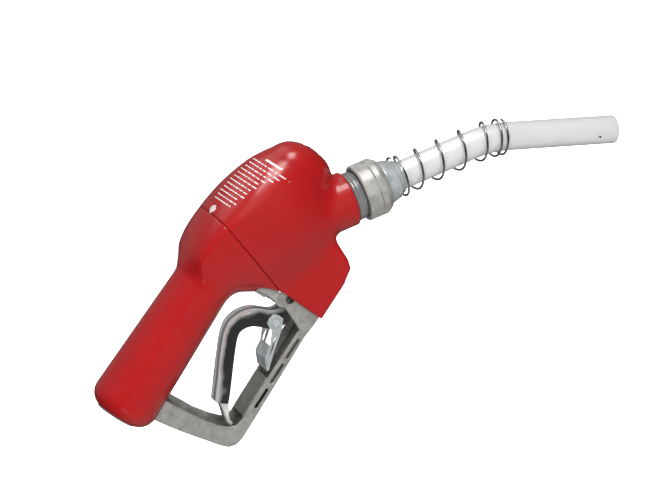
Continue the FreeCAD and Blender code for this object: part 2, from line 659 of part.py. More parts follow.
def make_spout_inside():
    """Sensing tube, tip insert and the sprung check valve at the spout's root."""
    line = spout_wire(-6.0, SPOUT_END - 22.0)
    point, heading = on_spout(-6.0)
    ring = Part.Wire(Part.makeCircle(2.0, point, heading))
    bore = Part.Wire(Part.makeCircle(1.3, point, heading))
    sense = line.makePipeShell([ring], True, False).cut(line.makePipeShell([bore], True, False))
    save(sense, "aspirator_tube")
    tip, heading = on_spout(SPOUT_END - 22.0)
    hub = tube(3.4, 2.02, tip, tip + heading * 7)
    fins = []
    for i in range(3):
        fin = Part.makeBox(7, 1.2, SPOUT_R - SPOUT_WALL - 2.9, V(0, -0.6, 2.8))
        fin.rotate(V(0, 0, 0), X_AXIS, 120 * i)
        fin.Placement = FreeCAD.Placement(tip, FreeCAD.Rotation(X_AXIS, heading)).multiply(fin.Placement)
        fins.append(fin)
    save(joined([hub] + fins), "tip_insert")
    carrier = tube(8.9, 6.0, at_spout(-38), at_spout(-35))
    spider = Part.makeBox(3, 13, 2.4, V(0, -6.5, -1.2))
    spider.Placement = FreeCAD.Placement(at_spout(-38), FreeCAD.Rotation(X_AXIS, spout_dir()))
    guide = cylinder(2.6, at_spout(-38), at_spout(-32))
    bore = cylinder(1.3, at_spout(-45), at_spout(-20))
    save(joined([carrier, spider, guide]).cut(bore), "check_valve_guide")
    seat = tube(8.9, 6.2, at_spout(-52.0), at_spout(-49.0))
    save(seat, "check_valve_seat")
    poppet = joined([
        cylinder(7.4, at_spout(-48.9), at_spout(-46.8)),
        cylinder(1.25, at_spout(-47.0), at_spout(-34.0)),
    ])
    save(poppet, "check_poppet")
    save(coil(4.2, 0.45, at_spout(-46.3), spout_dir(), 4.4, 3), "check_spring")


def make_inlet():
    """Cone strainer and sealing ring at the bottom of the inlet thread."""
    rim = tube(SEAT_R - 0.1, 7.6, V(17.6, 0, 0), V(19.8, 0, 0))
    cone = spun([(19.0, 7.0), (19.0, 8.4), (42.0, 3.6), (42.0, 2.4)], V(0, 0, 0), X_AXIS)
    nose = cylinder(3.6, V(41.6, 0, 0), V(42.8, 0, 0))
    slots = []
    for i in range(8):
        slot = Part.makeBox(14.0, 1.4, 8.0, V(23.0, -0.7, 3.0))
        slot.rotate(V(0, 0, 0), X_AXIS, 45 * i)
        slots.append(slot)
    save(less(joined([rim, cone, nose]), slots), "inlet_strainer")
    save(tube(SEAT_R - 0.1, 9.0, V(15.4, 0, 0), V(17.4, 0, 0)), "inlet_gasket")


make_covers()
make_casting()
make_main_cap()
make_seat()
make_stem()
make_gland()
make_main_spring()
make_plunger()
make_vent()
make_lever()
make_rivet()
make_clip()
make_guard()
make_guard_screws()
make_nut()
make_bushing()
make_spout()
make_anchor_spring()
make_spout_inside()
make_inlet()
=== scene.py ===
import math

import bmesh
import bpy
import numpy as np
from mathutils import Matrix, Vector
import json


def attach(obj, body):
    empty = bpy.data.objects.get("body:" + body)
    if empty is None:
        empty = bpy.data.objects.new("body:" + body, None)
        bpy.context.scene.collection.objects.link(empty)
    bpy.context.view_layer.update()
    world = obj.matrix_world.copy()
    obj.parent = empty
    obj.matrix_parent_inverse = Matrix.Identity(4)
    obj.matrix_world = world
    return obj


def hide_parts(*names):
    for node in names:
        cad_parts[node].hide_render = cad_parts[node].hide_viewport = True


# Visual model of the fuel nozzle.  Shapes are worked out in millimetres in the CAD
# frame (+X along the grip, +Z up, the lever guard below) and scaled to metres when a
# mesh is made.

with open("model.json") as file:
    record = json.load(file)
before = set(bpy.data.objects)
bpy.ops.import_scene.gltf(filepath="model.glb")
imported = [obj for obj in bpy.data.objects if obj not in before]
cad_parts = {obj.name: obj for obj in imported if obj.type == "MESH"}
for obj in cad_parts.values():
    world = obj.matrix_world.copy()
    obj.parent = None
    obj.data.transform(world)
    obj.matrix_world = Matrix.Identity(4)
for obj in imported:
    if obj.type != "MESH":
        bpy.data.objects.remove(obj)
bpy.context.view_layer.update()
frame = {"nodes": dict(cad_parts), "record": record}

MM = 0.001
COARSE = 1.0


# ---- small vector helpers ----


def vec(x, y, z):
    return np.array([x, y, z], float)


def unit(v):
    return v / np.linalg.norm(v)


def mix(a, b, t):
    return a + (b - a) * t


# ---- dimensions shared with the CAD part ----

SPOUT_TILT = math.radians(36.0)
SPOUT_BEND = math.radians(19.0)
SPOUT_ROOT = vec(224.0, 0.0, -65.0)     # centre of the spout nut's rear face
SPOUT_RUN = 89.6
BEND_R = 90.0
TIP_RUN = 85.5
SPOUT_R = 10.3
SPOUT_WALL = 1.25
SPOUT_END = SPOUT_RUN + BEND_R * SPOUT_BEND + TIP_RUN
VENT_TILT = math.radians(22.0)
VENT_FACE = vec(181.3, 0.0, -69.6)
VENT_AXIS = vec(math.cos(VENT_TILT), 0.0, -math.sin(VENT_TILT))
COVER_WALL = 2.8
MOUTH_R = 14.6
NECK_COVER_R = 19.9
LIP_STATION = -9.8
CHUNK_HALF = 15.8
CHUNK_REAR = 134.4
LEVER_HALF = 9.5
GUARD_HALF = 13.0
FORK_IN = 10.2
FORK_OUT = 12.6

SPOUT_DIR = vec(math.cos(SPOUT_TILT), 0.0, -math.sin(SPOUT_TILT))
SPOUT_UP = vec(math.sin(SPOUT_TILT), 0.0, math.cos(SPOUT_TILT))
ACROSS = vec(0.0, 1.0, 0.0)


def on_spout(s):
    """Centre, direction and upward normal of the spout at station s."""
    if s <= SPOUT_RUN:
        return SPOUT_ROOT + SPOUT_DIR * s, SPOUT_DIR, SPOUT_UP
    angle = min((s - SPOUT_RUN) / BEND_R, SPOUT_BEND)
    tilt = SPOUT_TILT + angle
    ahead = vec(math.cos(tilt), 0.0, -math.sin(tilt))
    up = vec(math.sin(tilt), 0.0, math.cos(tilt))
    hub = SPOUT_ROOT + SPOUT_DIR * SPOUT_RUN - SPOUT_UP * BEND_R
    rest = max(s - SPOUT_RUN - BEND_R * SPOUT_BEND, 0.0)
    return hub + up * BEND_R + ahead * rest, ahead, up


# ---- implicit surfaces ----
# A field is negative inside, positive outside and close to a distance in millimetres.


def soft_min(a, b, k):
    h = np.clip(0.5 + 0.5 * (b - a) / k, 0.0, 1.0)
    return b + (a - b) * h - k * h * (1.0 - h)


def soft_max(a, b, k):
    return -soft_min(-a, -b, k)


def carve(field, cutter, k=0.8):
    """Take the cutter away from the field, rounding the new edge."""
    return soft_max(field, -cutter, k)


def square_corner(a, b):
    """Distance to where two half-spaces at right angles overlap."""
    outside = np.sqrt(np.maximum(a, 0) ** 2 + np.maximum(b, 0) ** 2)
    return outside + np.minimum(np.maximum(a, b), 0.0)


def box_field(x, y, z, low, high):
    dx = np.maximum(low[0] - x, x - high[0])
    dy = np.maximum(low[1] - y, y - high[1])
    dz = np.maximum(low[2] - z, z - high[2])
    outside = np.sqrt(np.maximum(dx, 0) ** 2 + np.maximum(dy, 0) ** 2 + np.maximum(dz, 0) ** 2)
    return outside + np.minimum(np.maximum(dx, np.maximum(dy, dz)), 0.0)


def rod_field(x, y, z, start, end, radius):
    """Flat-ended round bar."""
    run = end - start
    length = np.linalg.norm(run)
    ahead = run / length
    px, py, pz = x - start[0], y - start[1], z - start[2]
    along = px * ahead[0] + py * ahead[1] + pz * ahead[2]
    away2 = px * px + py * py + pz * pz - along * along
    away = np.sqrt(np.maximum(away2, 0.0)) - radius
    ends = np.abs(along - length / 2) - length / 2
    return square_corner(away, ends)


def outline_field(x, z, points):
    """Signed distance to a closed XZ outline."""
    nearest = None
    inside = None
    count = len(points)
    for i in range(count):
        ax, az = points[i]
        bx, bz = points[(i + 1) % count]
        ex, ez = bx - ax, bz - az
        wx, wz = x - ax, z - az
        t = np.clip((wx * ex + wz * ez) / (ex * ex + ez * ez), 0.0, 1.0)
        d2 = (wx - ex * t) ** 2 + (wz - ez * t) ** 2
        nearest = d2 if nearest is None else np.minimum(nearest, d2)
        crosses = (az > z) != (bz > z)
        rise = ez if ez else 1e-9
        left = x < ax + (z - az) * ex / rise
        flip = crosses & left
        inside = flip if inside is None else inside ^ flip
    return np.where(inside, -1.0, 1.0) * np.sqrt(nearest)


def plate_field(x, y, z, points, half, k):
    """Outline extruded to both sides of the middle plane, with softened edges."""
    return soft_max(outline_field(x, z, points), np.abs(y) - half, k)


def surface_nets(field, low, high, step):
    """Quads around the cells where the field changes sign, then pulled onto the surface."""
    step *= COARSE
    counts = [int(math.ceil((h - l) / step)) + 1 for l, h in zip(low, high)]
    axes = [l + step * np.arange(n) for l, n in zip(low, counts)]
    value = field(axes[0][:, None, None], axes[1][None, :, None], axes[2][None, None, :])
    value = np.broadcast_to(value, counts)
    inside = value < 0
    cells = [n - 1 for n in counts]
    total = np.zeros(cells + [3])
    hits = np.zeros(cells)

    def corner(array, i, j, k):
        return array[i:i + cells[0], j:j + cells[1], k:k + cells[2]]

    for axis in range(3):
        others = [a for a in range(3) if a != axis]
        for p in (0, 1):
            for q in (0, 1):
                start = [0, 0, 0]
                start[others[0]], start[others[1]] = p, q
                stop = list(start)
                stop[axis] = 1
                a, b = corner(value, *start), corner(value, *stop)
                crossed = corner(inside, *start) != corner(inside, *stop)
                gap = np.where(crossed, a - b, 1.0)
                t = np.where(crossed, a / gap, 0.0)
                hits += crossed
                total[..., axis] += t
                total[..., others[0]] += p * crossed
                total[..., others[1]] += q * crossed
    used = hits > 0
    index = -np.ones(cells, int)
    index[used] = np.arange(int(used.sum()))
    where = np.argwhere(used)
    points = np.array(low) + step * (where + total[used] / hits[used][:, None])
    quads = []
    for axis in range(3):
        u, v = (axis + 1) % 3, (axis + 2) % 3
        shift = [slice(None)] * 3
        shift[axis] = slice(0, -1)
        ahead = [slice(None)] * 3
        ahead[axis] = slice(1, None)
        change = inside[tuple(shift)] != inside[tuple(ahead)]
        for side in (u, v):
            for end in (slice(0, 1), slice(-1, None)):
                border = [slice(None)] * 3
                border[side] = end
                change[tuple(border)] = False
        at = np.argwhere(change)
        if not len(at):
            continue
        du, dv = np.zeros(3, int), np.zeros(3, int)
        du[u], dv[v] = 1, 1
        ring = [at - du - dv, at - dv, at, at - du]
        corners = np.stack([index[tuple(c.T)] for c in ring], 1)
        solid = inside[tuple(at.T)]
        corners[~solid] = corners[~solid][:, ::-1]
        quads.append(corners)
    quads = np.concatenate(quads)
    for _ in range(4):
        points = pull_onto(field, points)
    return points, quads


def slope(field, points, reach=0.08):
    """Gradient of a field by central differences."""
    x, y, z = points.T
    gx = field(x + reach, y, z) - field(x - reach, y, z)
    gy = field(x, y + reach, z) - field(x, y - reach, z)
    gz = field(x, y, z + reach) - field(x, y, z - reach)
    return np.stack([gx, gy, gz], 1) / (2 * reach)


def pull_onto(field, points):
    grad = slope(field, points)
    steep = np.maximum((grad ** 2).sum(1), 0.05)
    move = field(*points.T) / steep
    move = np.clip(move, -0.5, 0.5)
    return points - grad * move[:, None]


# ---- mesh makers ----


def new_object(name, points, faces, smooth=True):
    mesh = bpy.data.meshes.new(name)
    places = [tuple(p) for p in np.asarray(points) * MM]
    mesh.from_pydata(places, [], [tuple(int(i) for i in f) for f in faces])
    mesh.validate()
    if smooth:
        mesh.shade_smooth()
    obj = bpy.data.objects.new(name, mesh)
    bpy.context.scene.collection.objects.link(obj)
    return obj


def finish_piece(obj, body, slot, nodes=(), look=None):
    """Material, body, slot and the CAD nodes that the piece stands for."""
    obj.data.materials.clear()
    obj.data.materials.append(look or MATERIALS[slot])
    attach(obj, body)
    if nodes:
        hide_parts(*nodes)
    return obj


def moulded(name, field, low, high, step):
    return new_object(name, *surface_nets(field, low, high, step))


def sharp_by_angle(obj, angle=40.0):
    """Smooth shading that keeps creases sharper than the angle."""
    obj.data.shade_smooth()
    obj.data.set_sharp_from_angle(angle=math.radians(angle))
    return obj


def ring_points(centre, ahead, up, radius, count):
    side = np.cross(ahead, up)
    turn = 2 * math.pi * np.arange(count) / count
    return centre + np.outer(np.cos(turn) * radius, up) + np.outer(np.sin(turn) * radius, side)


def skin_rings(rings, closed=False):
    """Quads between equal rings of points; open rows of rings get flat caps."""
    count = len(rings[0])
    faces = []
    spans = len(rings) if closed else len(rings) - 1
    for i in range(spans):
        a, b = i * count, (i + 1) % len(rings) * count
        for j in range(count):
            k = (j + 1) % count
            faces.append((a + j, a + k, b + k, b + j))
    if not closed:
        faces.append(tuple(range(count))[::-1])
        last = (len(rings) - 1) * count
        faces.append(tuple(last + j for j in range(count)))
    return np.concatenate(rings), faces


def turned(name, outline, corner, steps):
    """Lathe part on the spout's axis, from a closed outline of (station, radius)."""
    rings = [ring_points(SPOUT_ROOT + SPOUT_DIR * station, SPOUT_DIR, SPOUT_UP, radius, 96)
             for station, radius in rounded_profile(outline, corner, steps)]
    points, faces = skin_rings(rings, closed=True)
    obj = new_object(name, points, faces)
    face_outwards(obj)
    return sharp_by_angle(obj, 30.0)


def face_outwards(obj):
    bm = bmesh.new()
    bm.from_mesh(obj.data)
    bmesh.ops.recalc_face_normals(bm, faces=bm.faces)
    bm.to_mesh(obj.data)
    bm.free()


def rounded_profile(points, radius, steps):
    """Replace each corner of a closed profile with a small arc-like curve."""
    out = []
    count = len(points)
    for i in range(count):
        here = np.array(points[i], float)
        before = np.array(points[i - 1], float)
        after = np.array(points[(i + 1) % count], float)
        reach_a = min(radius, np.linalg.norm(before - here) * 0.45)
        reach_b = min(radius, np.linalg.norm(after - here) * 0.45)
        a = here + unit(before - here) * reach_a
        b = here + unit(after - here) * reach_b
        for j in range(steps + 1):
            t = j / steps
            out.append(tuple((1 - t) ** 2 * a + 2 * t * (1 - t) * here + t * t * b))
    return out


# ---- materials ----


def material(name):
    mat = bpy.data.materials.new(name)
    mat.use_nodes = True
    return mat, mat.node_tree.nodes, mat.node_tree.links, mat.node_tree.nodes["Principled BSDF"]


def noise(nodes, links, scale, detail=4.0, rough=0.55, stretch=None):
    """Noise in the object's own coordinates, optionally stretched."""
    coords = nodes.new("ShaderNodeTexCoord")
    source = coords.outputs["Object"]
    if stretch is not None:
        mapping = nodes.new("ShaderNodeMapping")
        mapping.inputs["Scale"].default_value = stretch[0]
        mapping.inputs["Rotation"].default_value = stretch[1]
        links.new(source, mapping.inputs["Vector"])
        source = mapping.outputs["Vector"]
    tex = nodes.new("ShaderNodeTexNoise")
    tex.inputs["Scale"].default_value = scale
    tex.inputs["Detail"].default_value = detail
    tex.inputs["Roughness"].default_value = rough
    links.new(source, tex.inputs["Vector"])
    return tex.outputs["Fac"]


def ramp(nodes, links, source, stops):
    node = nodes.new("ShaderNodeValToRGB")
    node.color_ramp.elements[0].position = stops[0][0]
    node.color_ramp.elements[0].color = (*stops[0][1], 1.0)
    node.color_ramp.elements[1].position = stops[-1][0]
    node.color_ramp.elements[1].color = (*stops[-1][1], 1.0)
    for position, colour in stops[1:-1]:
        node.color_ramp.elements.new(position).color = (*colour, 1.0)
    links.new(source, node.inputs["Fac"])
    return node.outputs["Color"]


def level(nodes, links, source, low, high, start=0.3, stop=0.7):
    """Map a source that goes from start to stop, such as a noise, to a range of values."""
    node = nodes.new("ShaderNodeMapRange")
    node.inputs["From Min"].default_value = start
    node.inputs["From Max"].default_value = stop
    node.inputs["To Min"].default_value = low
    node.inputs["To Max"].default_value = high
    links.new(source, node.inputs["Value"])
    return node.outputs["Result"]


def bump(nodes, links, shader, height, strength, distance):
    node = nodes.new("ShaderNodeBump")
    node.inputs["Strength"].default_value = strength
    node.inputs["Distance"].default_value = distance
    links.new(height, node.inputs["Height"])
    links.new(node.outputs["Normal"], shader.inputs["Normal"])


def vinyl_material():
    """Dip-moulded red vinyl: deep colour, wet gloss, a slight ripple and fine handling haze."""
    mat, nodes, links, shader = material("red_vinyl")
    cloud = noise(nodes, links, 22.0, 3.0)
    colour = ramp(nodes, links, cloud, [(0.25, (0.300, 0.0070, 0.0080)), (0.75, (0.325, 0.0080, 0.0090))])
    links.new(colour, shader.inputs["Base Color"])
    haze = noise(nodes, links, 160.0, 6.0)
    links.new(level(nodes, links, haze, 0.19, 0.25), shader.inputs["Roughness"])
    shader.inputs["Specular IOR Level"].default_value = 0.5
    shader.inputs["Coat Weight"].default_value = 0.2
    shader.inputs["Coat Roughness"].default_value = 0.08
    bump(nodes, links, shader, noise(nodes, links, 34.0, 2.0), 0.06, 0.0006)
    return mat


def across(nodes, links, low, high):
    """0 to 1 as the object's own Y goes from low to high, with a slight waver."""
    coords = nodes.new("ShaderNodeTexCoord")
    split = nodes.new("ShaderNodeSeparateXYZ")
    links.new(coords.outputs["Object"], split.inputs[0])
    waver = nodes.new("ShaderNodeMath")
    waver.operation = "ADD"
    links.new(split.outputs["Y"], waver.inputs[0])
    links.new(level(nodes, links, noise(nodes, links, 60.0, 2.0), -0.0007, 0.0007), waver.inputs[1])
    return level(nodes, links, waver.outputs["Value"], 0.0, 1.0, low, high)


def multiply(nodes, links, first, second):
    node = nodes.new("ShaderNodeMixRGB")
    node.blend_type = "MULTIPLY"
    node.inputs["Fac"].default_value = 1.0
    links.new(first, node.inputs[1])
    links.new(second, node.inputs[2])
    return node.outputs["Color"]


def guard_material():
    """The casting's finish, with painted shade: its colour is darkened inside its channels, between the
    side walls, where shade falls.
    """
    mat = MATERIALS["cast_aluminium"].copy()
    mat.name = "guard_casting"
    nodes, links = mat.node_tree.nodes, mat.node_tree.links
    shader = nodes["Principled BSDF"]
    colour = shader.inputs["Base Color"].links[0].from_socket
    # painted shade: a band across the casting's Y darkens the colour between the side walls, inside the
    # channels and the trough; the outer faces are darkened less.
    painted_shade_tint, outer_face_tint = (0.42, 0.42, 0.41), (0.82, 0.82, 0.81)
    inside = ramp(nodes, links, across(nodes, links, -0.013, 0.013), [
        (0.0, outer_face_tint), (0.07, outer_face_tint), (0.11, painted_shade_tint), (0.89, painted_shade_tint), (0.93, outer_face_tint), (1.0, outer_face_tint)])
    links.new(multiply(nodes, links, colour, inside), shader.inputs["Base Color"])
    return mat


def clouded_material(name, metallic, grain, stops, rough, dents=None):
    """Colour and roughness from one noise; dents are a noise, a strength and a distance."""
    mat, nodes, links, shader = material(name)
    shader.inputs["Metallic"].default_value = metallic
    cloud = noise(nodes, links, *grain)
    links.new(ramp(nodes, links, cloud, stops), shader.inputs["Base Color"])
    links.new(level(nodes, links, cloud, *rough), shader.inputs["Roughness"])
    if dents:
        bump(nodes, links, shader, noise(nodes, links, *dents[0]), *dents[1:])
    return mat


def lined_material(name, metallic, grain, low, high, lines, rough, dents):
    """Clouded colour with fine tool or draw lines that follow the spout."""
    mat, nodes, links, shader = material(name)
    shader.inputs["Metallic"].default_value = metallic
    colour = ramp(nodes, links, noise(nodes, links, *grain), [(0.3, low), (0.7, high)])
    links.new(colour, shader.inputs["Base Color"])
    scale, detail, stretch = lines
    marks = noise(nodes, links, scale, detail, 0.5, (stretch, (0.0, SPOUT_TILT, 0.0)))
    links.new(level(nodes, links, marks, *rough), shader.inputs["Roughness"])
    bump(nodes, links, shader, marks, *dents)
    return mat


def chrome_material():
    """Nickel-chrome plate over pressed steel, with painted reflections: dark and bright bands of base
    colour run along the channel, dark on the flanges and bright on the web.
    """
    mat, nodes, links, shader = material("chromed_steel")
    shader.inputs["Metallic"].default_value = 0.45
    # painted reflections: base-colour shades across the channel from the near flange to the far flange,
    # dark on the flanges where they would mirror dark surroundings, bright stripes on the web where it
    # would mirror light.
    shades = [(0.0, 0.035), (0.03, 0.04), (0.07, 0.30), (0.13, 0.70), (0.22, 1.0), (0.32, 0.36),
              (0.42, 0.22), (0.52, 0.66), (0.63, 1.0), (0.72, 0.52), (0.80, 0.10), (0.90, 0.03),
              (1.0, 0.02)]
    painted_reflection_bands = ramp(nodes, links, across(nodes, links, -0.0096, 0.0096),
                 [(at, (shade, shade * 1.02, shade * 1.01)) for at, shade in shades])
    cloud = noise(nodes, links, 70.0, 5.0)
    smudges = ramp(nodes, links, cloud, [(0.3, (0.84, 0.85, 0.85)), (0.7, (1.0, 1.0, 0.99))])
    links.new(multiply(nodes, links, painted_reflection_bands, smudges), shader.inputs["Base Color"])
    links.new(level(nodes, links, noise(nodes, links, 240.0, 6.0), 0.08, 0.19), shader.inputs["Roughness"])
    bump(nodes, links, shader, noise(nodes, links, 120.0, 2.0), 0.12, 0.0003)
    return mat


def plain_metal(name, low, high, rough):
    return clouded_material(name, 1.0, (150.0, 5.0), [(0.3, low), (0.7, high)],
                            (rough - 0.06, rough + 0.08), ((600.0, 3.0), 0.1, 0.0002))


def plain_polymer(name, low, high, rough):
    return clouded_material(name, 0.0, (180.0, 6.0), [(0.3, low), (0.7, high)],
                            (rough - 0.08, rough + 0.08), ((900.0, 3.0), 0.15, 0.0002))


MATERIALS = {
    "red_vinyl": vinyl_material(),
    # tumbled casting: grey, pitted, brighter where it has been rubbed
    "cast_aluminium": clouded_material(
        "cast_aluminium", 0.6, (150.0, 8.0, 0.75),
        [(0.30, (0.36, 0.352, 0.328)), (0.50, (0.52, 0.51, 0.48)), (0.72, (0.68, 0.67, 0.64))],
        (0.36, 0.56), ((420.0, 6.0, 0.65), 0.35, 0.0005)),
    # turned, with fine tool lines and a dull oxide bloom
    "machined_aluminium": lined_material(
        "machined_aluminium", 0.6, (55.0, 6.0), (0.20, 0.205, 0.205), (0.32, 0.33, 0.33),
        (900.0, 2.0, (0.9, 0.04, 0.04)), (0.26, 0.42), (0.18, 0.0002)),
    # bright drawn tube with faint lengthwise draw lines
    "bright_aluminium": lined_material(
        "bright_aluminium", 0.4, (40.0, 5.0), (0.74, 0.745, 0.745), (0.80, 0.80, 0.795),
        (700.0, 3.0, (0.03, 1.0, 1.0)), (0.16, 0.26), (0.05, 0.0001)),
    "chromed_steel": chrome_material(),
    # pale, faintly spangled plating
    "zinc_plated_steel": clouded_material(
        "zinc_plated_steel", 0.45, (130.0, 6.0), [(0.3, (0.36, 0.40, 0.41)), (0.7, (0.56, 0.60, 0.60))],
        (0.18, 0.34), ((500.0, 3.0), 0.10, 0.0002)),
    # drawn spring wire
    "spring_steel": clouded_material(
        "spring_steel", 1.0, (200.0, 4.0), [(0.3, (0.50, 0.51, 0.52)), (0.7, (0.68, 0.69, 0.70))],
        (0.14, 0.28)),
    "stainless": plain_metal("stainless", (0.50, 0.50, 0.50), (0.62, 0.62, 0.61), 0.28),
    "brass": plain_metal("brass", (0.55, 0.38, 0.14), (0.72, 0.52, 0.22), 0.30),
    "black_rubber": plain_polymer("black_rubber", (0.015, 0.015, 0.016), (0.04, 0.04, 0.042), 0.6),
    "white_acetal": plain_polymer("white_acetal", (0.72, 0.72, 0.70), (0.84, 0.84, 0.82), 0.42),
}
WHITE_INK = plain_polymer("white_ink", (0.78, 0.76, 0.75), (0.90, 0.89, 0.88), 0.45)


# ---- red covers ----

# Stations along the body: x, rim half width, rim height, height of the crown above the
# rim, depth of the belly below it, and how square the section is below the rim.
BODY = np.array([
    [96.0, 15.0, 0.0, 15.0, 17.0, 1.8],
    [110.0, 17.0, 2.0, 15.0, 20.5, 1.8],
    [114.5, 20.0, 7.9, 13.2, 30.4, 1.8],
    [119.0, 23.2, 13.3, 9.9, 40.8, 1.8],
    [124.0, 25.3, 16.9, 8.3, 52.4, 1.85],
    [130.0, 26.8, 18.1, 8.4, 62.1, 1.95],
    [138.0, 28.2, 17.9, 9.6, 67.9, 2.1],
    [150.0, 30.4, 15.1, 12.5, 70.1, 2.25],
    [163.0, 31.8, 10.5, 16.5, 69.0, 2.3],
    [176.0, 31.6, 3.7, 22.0, 63.7, 2.3],
    [190.0, 29.6, -4.4, 27.0, 53.1, 2.2],
    [203.0, 25.8, -9.0, 26.9, 42.0, 2.1],
    [212.0, 21.8, -11.0, 23.8, 33.8, 2.0],
    [218.0, 18.4, -12.3, 21.3, 27.3, 2.0],
    [232.0, 17.0, -14.8, 21.0, 26.0, 2.0],
])
NOSE = (218.0, 12.9)        # where the nose starts to round off, and its length
HEEL = (112.0, 16.0)        # the same at the rear, hidden inside the grip


def body_curves(x):
    """Smooth station values at x, by cubic interpolation, shrunk at both ends."""
    stations = BODY[:, 0]
    xs = np.clip(x, stations[0], stations[-1])
    i = np.clip(np.searchsorted(stations, xs) - 1, 0, len(stations) - 2)
    gap = stations[i + 1] - stations[i]
    t = (xs - stations[i]) / gap
    result = []
    for column in range(1, 6):
        values = BODY[:, column]
        slopes = np.gradient(values, stations)
        a, b = values[i], values[i + 1]
        m0, m1 = slopes[i] * gap, slopes[i + 1] * gap
        t2, t3 = t * t, t * t * t
        result.append((2 * t3 - 3 * t2 + 1) * a + (t3 - 2 * t2 + t) * m0
                      + (3 * t2 - 2 * t3) * b + (t3 - t2) * m1)
    ahead = np.clip((x - NOSE[0]) / NOSE[1], 0.0, 1.0)
    behind = np.clip((HEEL[0] - x) / HEEL[1], 0.0, 1.0)
    shrink = np.sqrt(np.maximum((1 - ahead ** 2) * (1 - behind ** 2), 0.004))
    wide, rim, crown, belly, power = result
    return wide * shrink, rim, crown * shrink, belly * shrink, power


def half_section(y, z, wide, tall, power):
    """Distance to one half of a superellipse, measured in its own plane."""
    u = np.abs(y) / wide + 1e-6
    v = np.abs(z) / tall + 1e-6
    total = u ** power + v ** power
    reach = total ** (1.0 / power)
    lean = total ** (1.0 / power - 1.0)
    gx = u ** (power - 1) * lean / wide
    gz = v ** (power - 1) * lean / tall
    return (reach - 1.0) / np.sqrt(gx * gx + gz * gz + 1e-9)


def body_field(x, y, z):
    """Crowned hood over a rounded belly."""
    wide, rim, crown, belly, power = body_curves(x)
    up = half_section(y, z - rim, wide, crown, 2.0)
    down = half_section(y, z - rim, wide, belly, power)
    section = np.where(z > rim, up, down)
    past = np.maximum(x - NOSE[0] - NOSE[1], HEEL[0] - HEEL[1] - x)
    return np.where(past > 0, np.maximum(section, past), section)


def grip_field(x, y, z):
    """Tapered round grip with a rounded rear end."""
    radius = 24.0 - 3.5 * (x - 12.5) / 103.5
    corner = 13.0
    away = np.sqrt(y * y + (z + 0.7) ** 2) - (radius - corner)
    back = corner + 0.6 - x
    return soft_max(square_corner(away, back) - corner, x - 140.0, 4.0)


CHUNK = [(135.2, -28), (133.3, -87.0), (163.0, -87.0), (175.4, -84.4), (179.5, -79.2),
         (188.3, -58.2), (188.8, -28)]


def chunk_field(x, y, z):
    return plate_field(x, y, z, CHUNK, CHUNK_HALF, 3.6)


def cover_field(x, y, z):
    """Outer surface of both covers before they are opened and parted."""
    shape = soft_min(body_field(x, y, z), grip_field(x, y, z), 7.0)
    shape = soft_min(shape, chunk_field(x, y, z), 9.0)
    root, _, _ = on_spout(-60.0)
    end, _, _ = on_spout(6.0)
    return soft_min(shape, rod_field(x, y, z, root, end, NECK_COVER_R), 7.5)


def shell_field(x, y, z):
    """The covers as a moulded skin with its openings."""
    outer = cover_field(x, y, z)
    shell = soft_max(outer, -(outer + COVER_WALL), 1.2)
    mouth = np.maximum(np.sqrt(y * y + z * z) - MOUTH_R, x - 8.0)
    shell = carve(shell, mouth, 1.2)
    along = (x - SPOUT_ROOT[0]) * SPOUT_DIR[0] + (z - SPOUT_ROOT[2]) * SPOUT_DIR[2]
    shell = soft_max(shell, along - LIP_STATION, 1.4)
    behind = np.maximum(x - CHUNK_REAR - 0.5 - 0.045 * (z + 48.0), z + 48.5)
    shell = carve(shell, behind, 1.0)
    below = box_field(x, y, z, (126.0, -13.3, -100.0), (CHUNK_REAR + 0.3, 13.3, -34.0))
    shell = carve(shell, below, 1.0)
    port = rod_field(x, y, z, VENT_FACE - VENT_AXIS * 9, VENT_FACE + VENT_AXIS * 9, 11.3)
    return carve(shell, port, 1.0)


SEAM_AT = (152.3, 17.0)
SEAM_LEAN = math.radians(15.0)
SEAM_GAP = 0.09


def seam_side(x, z):
    """Distance ahead of the seam plane."""
    ahead = (x - SEAM_AT[0]) * math.cos(SEAM_LEAN) - (z - SEAM_AT[1]) * math.sin(SEAM_LEAN)
    return np.maximum(ahead, np.minimum(x - CHUNK_REAR + 3.0, -47.0 - z))


def front_cover_field(x, y, z):
    return soft_max(shell_field(x, y, z), SEAM_GAP - seam_side(x, z), 0.45)


LEVER_ROOM = [(84.0, -45.0), (84.0, -26.0), (90.4, -22.3), (97.7, -21.0), (104.3, -21.2),
              (110.9, -23.8), (116.5, -28.2), (116.5, -45.0)]


def rear_cover_field(x, y, z):
    """Grip half, relieved below where the lifted lever comes close."""
    cover = soft_max(shell_field(x, y, z), seam_side(x, z) + SEAM_GAP, 0.45)
    return carve(cover, plate_field(x, y, z, LEVER_ROOM, 10.8, 1.5), 1.0)


def make_covers():
    step = 0.95
    front = moulded("front_cover_skin", front_cover_field, (126.0, -36.0, -90.0), (234.0, 36.0, 29.0), step)
    rear = moulded("rear_cover_skin", rear_cover_field, (-3.0, -34.0, -60.0), (160.0, 34.0, 29.0), step)
    finish_piece(front, "body", "red_vinyl", ["front_cover"])
    finish_piece(rear, "body", "red_vinyl", ["rear_cover"])


# ---- printed panel ----


def crown_height(x, y):
    """Height of the cover's top surface above a point."""
    x, y = np.asarray(x, float), np.asarray(y, float)
    low, high = np.full_like(x, -10.0), np.full_like(x, 40.0)
    for _ in range(24):
        middle = (low + high) / 2
        inside = cover_field(x, y, middle) < 0
        low = np.where(inside, middle, low)
        high = np.where(inside, high, middle)
    return (low + high) / 2


